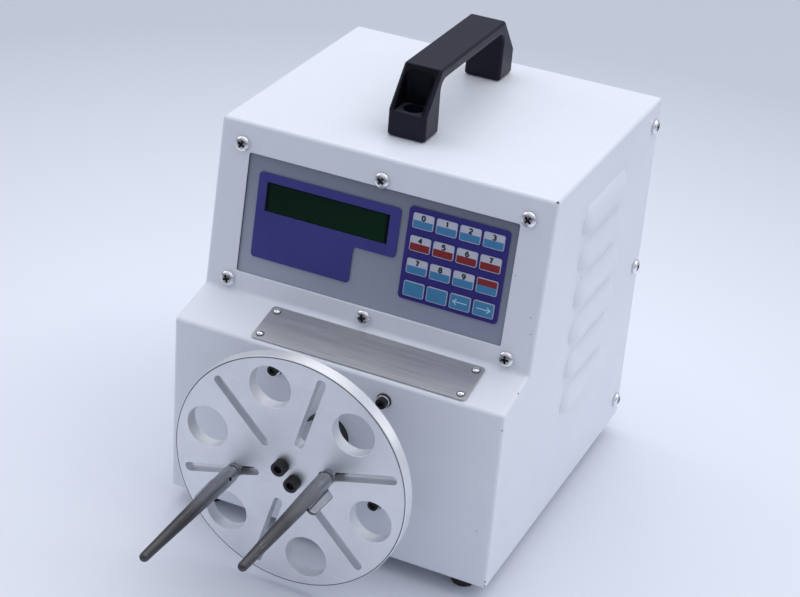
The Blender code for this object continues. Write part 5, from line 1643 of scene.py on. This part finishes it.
def make_handle():
    back, foot = handle_length, handle_foot
    under_bar = handle_height - handle_bar
    corners = [
        (0, 0, 0),
        (foot, 0, 0),
        (foot - handle_draft, under_bar, handle_arch_radius),
        (back - foot + handle_draft, under_bar, handle_arch_radius),
        (back - foot, 0, 0),
        (back, 0, 0),
        (back, handle_block_height, handle_corner_radius),
        (back - handle_slope, handle_height, handle_corner_radius),
        (handle_slope, handle_height, handle_corner_radius),
        (0, handle_block_height, handle_corner_radius),
    ]
    half = handle_width / 2
    body = bevelled(moved(prism(rounded_outline(corners), -half, half), across), handle_edge_radius, 5, 40)
    inner = half - handle_pocket_wall

    def pocket_at(grow):
        far, corner = handle_pocket_back + grow, handle_pocket_corner + grow
        side = inner + grow
        corners = [(-side, -overrun, 0), (side, -overrun, 0), (side, far, corner), (-side, far, corner)]
        return rounded_outline(corners)

    top = handle_height + overrun
    pocket = loft([(pocket_at(0.0), handle_pocket_floor), (pocket_at(handle_pocket_flare), top)])
    bore = cylinder(handle_bore_radius, handle_seat, handle_height, 64)
    hole = cylinder(m6_radius + hole_clearance, -overrun, handle_height, 32)
    for shape in (bore, hole):
        bmesh.ops.translate(shape, vec=(0, handle_hole_inset, 0), verts=shape.verts)
    ends = (Matrix(), Matrix.Translation((0, back, 0)) @ Matrix.Rotation(math.pi, 4, "Z"))
    cuts = [copies(pocket, ends), copies(bore, ends), copies(hole, ends)]
    mesh = bevelled(carved(body, cuts=cuts), handle_cut_edge, 3, 48)
    axes = case_axes @ Matrix.Translation((handle_offset, handle_front, case_height + seat_gap))
    painted_light_extras = {"replaces": ["carry_handle"], "others": ["pocket", "ledge"]}
    handle = piece("moulded_handle", mesh, axes, "machine", "handle", "black_plastic", **painted_light_extras)
    # The pocket walls wear painted shade, and the ledge at the pocket's floor is lighter for dust and for
    # painted light.
    for face in handle.data.polygons:
        x, y, z = face.center
        flare = handle_pocket_flare * (z - handle_pocket_floor) / (top - handle_pocket_floor) + seat_gap
        within = abs(x) < inner + flare and min(y, back - y) < handle_pocket_back + flare
        if within and z > handle_pocket_floor + seat_gap:
            face.material_index = 1
        elif within and z > handle_pocket_floor - seat_gap:
            face.material_index = 2
    shape = socket_screw(handle_cap_radius, handle_cap_height, m6_radius, handle_screw_length)
    screw = as_mesh("handle_screw", shape)
    seat = case_height + seat_gap + handle_seat + seat_gap
    for name, place in zip(("front", "rear"), handle_hole_places(seat)):
        axes = case_axes @ Matrix.Translation(place)
        node = f"{name}_handle_screw"
        piece(f"{name}_cap_screw", screw.copy(), axes, "machine", "black screw", "black_oxide", [node])


# The motor's front, the hub and the disc


def make_motor_front():
    """The bell with its boss behind the case, and the four mounting screws with washers."""
    back, face = -sheet - seat_gap - motor_flange, -sheet - seat_gap
    half = motor_size / 2
    outline = rounded_rectangle(-half, half, -half, half, motor_corner)
    top, root = motor_boss_height, face - motor_flange / 2
    radius, edge = motor_boss_radius, motor_boss_edge
    boss = turned([(0, top), (radius - edge, top), (radius, top - edge), (radius, root), (0, root)], 96)
    through = cylinder(spindle_radius + spindle_room, back - overrun, top + overrun, 64)
    pocket = cylinder(bearing_radius + seat_gap, top - bearing_depth, top + overrun, 64)
    bell = carved(prism(outline, back, face), joins=[boss], cuts=[through, pocket])
    piece("motor_bell", bell, spindle_axes, "machine", "motor case", "black_oxide", ["motor_front_bell"])
    cap_height = motor_cap_top - spring_washer_top
    screw = socket_screw(motor_cap_radius, cap_height, m4_radius, motor_screw_length)
    screw = as_mesh("motor_screw", screw)
    washer = as_mesh("motor_washer", ring_washer(washer_radius, 0, washer_thickness))
    spring = ring_washer(spring_washer_radius, washer_thickness, spring_washer_top)
    spring = as_mesh("spring_washer", spring)
    for i, place in enumerate(motor_screw_places(seat_gap)):
        on_front = spindle_axes @ Matrix.Translation(place)
        raised = on_front @ Matrix.Translation((0, 0, spring_washer_top))
        piece(f"motor_washer_{i + 1}", washer.copy(), on_front, "machine", "black screw", "black_oxide")
        piece(f"spring_washer_{i + 1}", spring.copy(), on_front, "machine", "chrome", "bright_steel")
        piece(f"motor_screw_{i + 1}", screw.copy(), raised, "machine", "black screw", "black_oxide")


def make_disc():
    """The slotted disc, with fine chamfers on its rim, slots and holes."""
    back, edge = disc_face - disc_thickness, disc_chamfer
    profile = [
        (0, disc_face),
        (disc_radius - disc_line_inner, disc_face),
        (disc_radius - disc_line_outer, disc_face - disc_line_drop),
        (disc_radius, disc_face - edge),
        (disc_radius, back + edge),
        (disc_radius - edge, back),
        (0, back),
    ]

    def both_ends(outline_at):
        flare = disc_cut_flare
        straight, wide = outline_at(0.0), outline_at(flare * 3)
        low = [(wide, back - flare * 2), (straight, back + flare)]
        return loft(low + [(straight, disc_face - flare), (wide, disc_face + flare * 2)])

    slot = both_ends(lambda grow: stadium(slot_inner, slot_outer, slot_width, grow))
    hole = both_ends(lambda grow: ring(disc_hole_radius + grow, 96))
    screw_hole = both_ends(lambda grow: ring(m5_radius + hole_clearance + grow / 2, 32))
    step = 360 / disc_pattern_count
    turns = range(disc_pattern_count)
    slots = [turned_by(i, disc_slot_turn, step) for i in turns]
    holes = [polar(disc_hole_circle, disc_hole_turn + i * step) for i in turns]
    cuts = [copies(slot, slots), copies(hole, holes), copies(screw_hole, disc_screw_places())]
    mesh = carved(turned(profile, 240), cuts=cuts)
    painted_light_extras = {"replaces": ["winding_disc"], "others": ["disc rim", "edge line", "cut wall"]}
    disc = piece("slotted_disc", mesh, spindle_axes, "head", "disc", "disc_aluminium", smooth=25, **painted_light_extras)
    # The rim wears a painted highlight, the ring just inside it a painted shadow line, and the walls of the
    # slots and holes painted light.
    line, rim = disc_radius - disc_line_inner - face_room, disc_radius - disc_line_outer - face_room
    for face in disc.data.polygons:
        nearest = min(math.hypot(*disc.data.vertices[i].co.xy) for i in face.vertices)
        if nearest > rim:
            face.material_index = 1
        elif nearest > line and face.center.z > back + disc_thickness / 2:
            face.material_index = 2
        elif abs(face.normal.z) < disc_level:
            face.material_index = 3
    shape = socket_screw(disc_cap_radius, disc_cap_height, m5_radius, disc_screw_length)
    screw = as_mesh("disc_screw", shape)
    places = disc_screw_places(disc_face + seat_gap)
    for name, turn, place in zip(("upper", "lower"), disc_cap_turns, places):
        axes = spindle_axes @ Matrix.Translation(place) @ turned_by(0, turn)
        node = f"{name}_disc_screw"
        piece(f"{name}_cap_screw", screw.copy(), axes, "head", "black screw", "black_oxide", [node])


# The winding fingers


def arm_axes(side):
    """The finger's axes: Z away from the disc, X towards the lever."""
    out = Vector(joints["disc_spin"]["axis"]).normalized()
    hinge = Vector(joints[f"{side}_lever_open"]["axis"])
    hinge = (hinge - out * hinge.dot(out)).normalized()
    lever_way = hinge.cross(out)
    turn = Matrix((lever_way, hinge, out)).transposed().to_4x4()
    return Matrix.Translation(joints[f"{side}_arm_turn"]["pos_m"]) @ turn


def make_finger(side):
    """A tapered finger, bored for the fork and grooved for the lever, with its stud and lever."""
    axes = arm_axes(side)
    tip = finger_reach - finger_tip_radius
    bore = fork_radius + finger_bore_room
    profile = arc((0, tip), finger_tip_radius, 90, 0, 10)
    profile[0] = (0, finger_reach)
    profile += [(finger_base_radius, finger_base + finger_straight)]
    profile += [
        (finger_base_radius - finger_edge + x, finger_base + finger_edge + y)
        for x, y in arc((0, 0), finger_edge, 0, -90, 5)
    ]
    profile += [(bore, finger_base), (bore, finger_bore_end), (0, finger_bore_end + finger_bore_cone)]
    floor = lever_inner - finger_groove_slack
    far = finger_base_radius + overrun
    corners = [
        (floor, finger_base - overrun, 0),
        (far, finger_base - overrun, 0),
        (far, finger_groove_end, 0),
        (floor, finger_groove_end, finger_groove_radius),
    ]
    half = lever_thickness / 2 + finger_groove_slack
    groove = moved(prism(rounded_outline(corners, 12), -half, half), upright)
    outwards = Matrix.Translation((0, 0, finger_hole_height)) @ towards_x.inverted()
    hole = moved(cylinder(finger_hole_radius, 0, far, 32), outwards)
    mesh = bevelled(carved(turned(profile, 96), cuts=[groove, hole]), finger_cut_edge, 2, 50)
    painted_light_extras = {"replaces": [f"{side}_winding_finger"], "others": ["recess"]}
    finger = piece(f"{side}_finger", mesh, axes, f"{side}_arm", "finger", "finger_steel", smooth=30, **painted_light_extras)
    # The groove, the bore and the cross hole wear the shaded recess finish: painted shade.
    for face in finger.data.polygons:
        x, y, z = face.center
        in_groove = abs(y) < half + face_room and x > floor - face_room and z < finger_groove_end + seat_gap
        in_bore = math.hypot(x, y) < bore + face_room and z < finger_bore_end + overrun
        in_hole = x < 0 and math.hypot(y, z - finger_hole_height) < finger_hole_radius + face_room
        face.material_index = int(in_groove or in_bore or in_hole)
    make_stud(side, axes)
    make_lever(side, axes)


def make_stud(side, axes):
    """The stud through the slot, with a fork on top that holds the lever's pin."""
    head_top = -disc_thickness - seat_gap - slot_nut_depth - seat_gap
    head_low, head, edge = head_top - stud_head_height, stud_head_radius, stud_edge
    profile = [
        (0, fork_height),
        (fork_radius - edge, fork_height),
        (fork_radius, fork_height - edge),
        (fork_radius, collar_top),
        (collar_radius - edge, collar_top),
        (collar_radius, collar_top - edge),
        (collar_radius, collar_low),
        (stud_radius, collar_low),
        (stud_radius, head_top),
        (head, head_top),
        (head, head_low + edge),
        (head - edge, head_low),
        (0, head_low),
    ]
    half = lever_thickness / 2 + fork_slack
    wide = fork_radius + overrun
    slot = box((-wide, -half, collar_top), (wide, half, fork_height + overrun))
    hole = moved(cylinder(lever_pin_radius + seat_gap, -wide, wide, 24), upright)
    moved(hole, Matrix.Translation((lever_pivot_out, 0, lever_pivot_height)))
    mesh = carved(turned(profile, 64), cuts=[slot, hole])
    piece(f"{side}_forked_stud", mesh, axes, f"{side}_arm", "steel", "bright_steel", [f"{side}_stud"])


def make_lever(side, axes):
    """A flat cam lever with softened edges, drawn about its pivot."""
    hinge_axes = axes @ Matrix.Translation((lever_pivot_out, 0, lever_pivot_height))
    inner = lever_inner - lever_pivot_out
    radius = lever_corner_radius
    corner_out = lever_corner_out - lever_pivot_out - radius
    corner_height = lever_corner_height - lever_pivot_height + radius
    nose = (lever_nose_out - lever_pivot_out, lever_nose_height - lever_pivot_height)
    outline = [(inner, lever_shoulder_height - lever_pivot_height)]
    outline += arc((0, 0), lever_heel_radius, math.degrees(math.acos(inner / lever_heel_radius)), 300, 24)
    outline.append((lever_knuckle_out - lever_pivot_out, lever_knuckle_height - lever_pivot_height))
    outline += arc((corner_out, corner_height), radius, -70, 0, 6)
    outline += arc(nose, lever_nose_radius, -10, 150, 18)
    half = lever_thickness / 2
    plate = bevelled(moved(prism(outline, -half, half), upright), lever_edge, 3, 40)
    hole = moved(cylinder(lever_pin_radius + lever_pin_room, -half - overrun, half + overrun, 32), upright)
    mesh = carved(plate, cuts=[hole])
    painted_light_extras = {"replaces": [f"{side}_release_lever"], "others": ["edge line"]}
    lever = piece(f"{side}_cam_lever", mesh, hinge_axes, f"{side}_lever", "lever", "finger_steel", **painted_light_extras)
    # The lever's narrow sides wear the edge line finish: painted shade.
    for face in lever.data.polygons:
        face.material_index = int(abs(face.normal.y) < lever_level)


# The rear panel and what is fitted in it


def make_rear_panel():
    """The folded rear panel, with the screws and nuts that hold the cover to it."""
    half, top = case_width / 2 - sheet - seat_gap, case_height - sheet - seat_gap
    skin = box((-half, rear_face - rear_flange, base_top + seat_gap), (half, rear_face, top))
    front = min(skin.faces, key=lambda face: face.calc_center_median().y)
    bottom = min(skin.faces, key=lambda face: face.calc_center_median().z)
    bmesh.ops.delete(skin, geom=[front, bottom], context="FACES")
    to_rear = case_axes.inverted() @ rear_axes
    openings = [
        cutout(inlet_right, inlet_width, inlet_body_height, inlet_corner),
        cutout(switch_right, switch_width, switch_body_height, switch_corner),
    ]
    room = cylinder(m6_radius * nut_share + handle_nut_room, top - rear_flange, top + overrun)
    bmesh.ops.translate(room, vec=handle_hole_places()[-1], verts=room.verts)
    hole = cylinder(m4_radius + hole_clearance, -sheet * 3, overrun, 24)
    places = side_screw_places(case_width / 2)
    cuts = [moved(gather(*openings), to_rear), room, copies(hole, places)]
    mesh = carved(folded_sheet(skin, rear_bend, 5), cuts=cuts)
    piece("folded_rear_panel", mesh, case_axes, "machine", "white", "white_case", ["rear_panel"], 28)
    screw = as_mesh("side_screw", pan_screw())
    behind = -sheet - seat_gap - sheet
    hexagon = prism(ring(m4_radius * nut_share, 6), behind - side_nut_height, behind)
    nut = bevelled(hexagon, side_nut_edge, 2)
    for i, place in enumerate(places):
        on_side = case_axes @ place
        axes = on_side @ Matrix.Translation((0, 0, seat_gap)) @ turned_by(i, *side_screw_turns)
        name = f"side_screw_{i + 1}"
        piece(name, screw.copy(), axes, "machine", "screw", "bright_steel", others=["recess"])
        piece(f"side_nut_{i + 1}", nut.copy(), on_side, "machine", "zinc", "zinc_steel")


def centred(half_width, half_height, corner):
    """A rounded rectangle around the origin, asked for at each inset."""
    return lambda grow: rounded_rectangle(-half_width, half_width, -half_height, half_height, corner, grow)


def cutout(right, width, height, corner):
    opening = prism(centred(width / 2, height / 2, corner)(seat_gap), -sheet - overrun, overrun)
    return moved(opening, Matrix.Translation((right, inlet_height, 0)))


def make_inlet():
    """The mains inlet: a snapped-in housing with a deep socket and three plated blades."""
    axes = rear_axes @ Matrix.Translation((inlet_right, inlet_height, 0))
    half_width, half_height = inlet_width / 2, inlet_body_height / 2
    face = seat_gap + inlet_flange
    outline = centred(half_width, half_height, inlet_corner)(0.0)
    body = prism(outline, -inlet_depth, seat_gap + inlet_flange / 2)
    rim = centred(half_width + inlet_rim, half_height + inlet_rim, inlet_corner)
    flange = slab(rim, seat_gap, face, fitting_edge)

    def mouth_at(grow):
        wide, tall, corner = socket_width / 2 + grow, socket_height / 2 + grow, socket_corner + grow
        side, top = tall - socket_chamfer, wide - socket_chamfer
        points = [(-wide, -tall), (wide, -tall), (wide, side), (top, tall), (-top, tall), (-wide, side)]
        return rounded_outline([(x, y, corner) for x, y in points], 4)

    floor = face - socket_depth
    shell = carved(flange, joins=[body], cuts=[pierced(mouth_at, floor, face, socket_flare)])
    piece("inlet_housing", shell, axes, "machine", "fitting", "black_plastic", ["power_inlet"])
    blades = [(-blade_spacing, -blade_line_drop), (0, blade_earth_rise), (blade_spacing, -blade_line_drop)]
    half_edge, half_blade = blade_thickness / 2, blade_width / 2
    far_corner = (half_edge, half_blade, floor + blade_length)
    blade = bevelled(box((-half_edge, -half_blade, floor - blade_root), far_corner), blade_edge)
    for i, (x, y) in enumerate(blades):
        on_floor = axes @ Matrix.Translation((x, y, 0))
        piece(f"inlet_blade_{i + 1}", blade.copy(), on_floor, "machine", "steel", "bright_steel")


def make_switch():
    """The power switch: a framed housing, and a dished rocker marked with a line and a ring."""
    axes = rear_axes @ Matrix.Translation((switch_right, inlet_height, 0))
    half_width, half_height = switch_width / 2, switch_body_height / 2
    face = seat_gap + switch_flange
    outline = centred(half_width, half_height, switch_corner)(0.0)
    shank = prism(outline, -switch_depth, seat_gap + switch_flange / 2)
    rim = centred(half_width + switch_rim, half_height + switch_rim, switch_rim / 2)
    wide, tall = rocker_width / 2 + rocker_side_gap, rocker_height / 2 + rocker_end_gap
    cavity = box((-wide, -tall, face - switch_cavity_depth), (wide, tall, face + overrun))
    shell = carved(slab(rim, seat_gap, face, fitting_edge), joins=[shank], cuts=[cavity])
    piece("switch_frame", shell, axes, "machine", "fitting", "black_plastic", ["switch_housing"])
    half, thick = rocker_height / 2, rocker_width / 2
    dish = rocker_rise - rocker_valley
    steps = [1 - i / 8 for i in range(17)]
    outline = [(-half, -rocker_body / 2), (-half / 2, -rocker_body)]
    outline += [(half / 2, -rocker_body), (half, -rocker_body / 2)]
    outline += [(half * step, rocker_valley + dish * step**2) for step in steps]
    rocker = bevelled(moved(prism(outline, -thick, thick), across), rocker_edge, 3)
    pivot = rear_axes @ Matrix.Translation((switch_right, inlet_height, seat_gap))
    on_rocker = pivot @ Matrix.Rotation(rocker_turn, 4, "X")
    body = "switch_rocker"
    piece("dished_rocker", rocker, on_rocker, body, "fitting", "black_plastic", [body])
    line, circle = [(0, 0.5), (0, -0.5)], oval(0, 0, 0.42, 0.5, 0, 360)
    for name, strokes, share in (("on", [line], mark_share), ("off", [circle], -mark_share)):
        height = rocker_valley + dish * share**2
        slope = math.atan(2 * dish * share / half)
        place = on_rocker @ Matrix.Translation((0, half * share, height)) @ Matrix.Rotation(slope, 4, "X")
        mark = printed(strokes, mark_size, mark_weight)
        piece(f"switch_{name}_mark", mark, place, body, "white ink", "key_print")


# Whole nodes that keep their own solid


def dress_solids():
    """Gives the solids that still show their finishes."""
    plan = {
        "zinc": ["base_plate", "power_supply", "left_slot_nut", "right_slot_nut"],
        "board": ["control_board"],
        "module": ["display_module"],
        "motor case": ["motor_rear_bell"],
        "core": ["motor_stator", "rotor"],
        "steel": ["front_bearing", "rear_bearing", "spindle", "left_lever_pin", "right_lever_pin"],
        "washer": ["left_friction_washer", "right_friction_washer"],
        "hub": ["disc_hub"],
        "rubber": ["front_left_foot", "front_right_foot", "rear_left_foot", "rear_right_foot"],
    }
    for finish, names in plan.items():
        for name in names:
            mesh = frame["nodes"][name].data
            mesh.materials.clear()
            mesh.materials.append(finishes[finish])


# The room: floor, lamps, world and camera


def make_floor():
    shape = bmesh.new()
    bmesh.ops.create_grid(shape, x_segments=1, y_segments=1, size=floor_reach)
    mesh = as_mesh("floor", shape)
    floor = placed("floor", mesh)
    finish, tree, place = new_finish("pale floor", roughness=0.7, specular=0.2)
    # Painted shade: the floor darkens away from the machine, standing in for light falling off.
    away = add_node(tree, "ShaderNodeVectorMath", {0: place}, operation="LENGTH").outputs["Value"]
    away = remap(tree, away, 0.30, 0.80)
    colour = blend_colour(tree, away, (0.755, 0.78, 0.855), (0.50, 0.525, 0.59))
    mesh.materials.append(complete(finish, colour))


def add_lamp(name, place, size, power):
    """A cool white softbox aimed at the machine's middle."""
    light = bpy.data.lights.new(name, "AREA")
    light.shape = "RECTANGLE"
    light.size, light.size_y = size
    light.energy = power
    light.color = lamp_colour
    lamp = placed(name, light)
    lamp.location = place
    way = Vector(lamp_aim) - Vector(place)
    lamp.rotation_euler = way.to_track_quat("-Z", "Y").to_euler()


def make_light():
    """Soft boxes overhead and at both sides, in a pale room with dimmer walls than ceiling."""
    add_lamp("overhead softbox", (0.25, 0.70, 2.0), (3.2, 1.8), 24.0)
    add_lamp("right softbox", (2.0, 1.3, 0.9), (2.2, 1.2), 7.5)
    add_lamp("left softbox", (-2.2, -0.2, 1.6), (2.0, 1.6), 9.0)
    world = bpy.data.worlds.new("studio")
    bpy.context.scene.world = world
    world.use_nodes = True
    tree = world.node_tree
    tree.nodes.clear()
    way = add_node(tree, "ShaderNodeTexCoord").outputs["Generated"]
    height = parts_of(tree, way)["Z"]
    low = blend_colour(tree, remap(tree, height, 0.04, 0.14), (0.365, 0.39, 0.455), (0.20, 0.215, 0.26))
    sky = blend_colour(tree, remap(tree, height, 0.10, 0.62), low, (0.80, 0.828, 0.90))
    room = add_node(tree, "ShaderNodeBackground", {"Color": sky, "Strength": 0.86})
    output = add_node(tree, "ShaderNodeOutputWorld", {"Surface": room.outputs[0]})
    output.is_active_output = True


def make_camera():
    view = bpy.data.cameras.new("camera")
    view.lens = camera_lens
    view.sensor_width = camera_sensor
    camera = placed("camera", view)
    camera.location = case_axes @ Vector(camera_place)
    camera.rotation_euler = camera_turn
    bpy.context.scene.camera = camera
    bpy.context.scene.view_settings.view_transform = "Standard"


make_case()
make_control_plate()
make_keypad()
make_nameplate()
make_handle()
make_motor_front()
make_disc()
for side in ("left", "right"):
    make_finger(side)
make_rear_panel()
make_inlet()
make_switch()
dress_solids()
make_floor()
make_light()
make_camera()
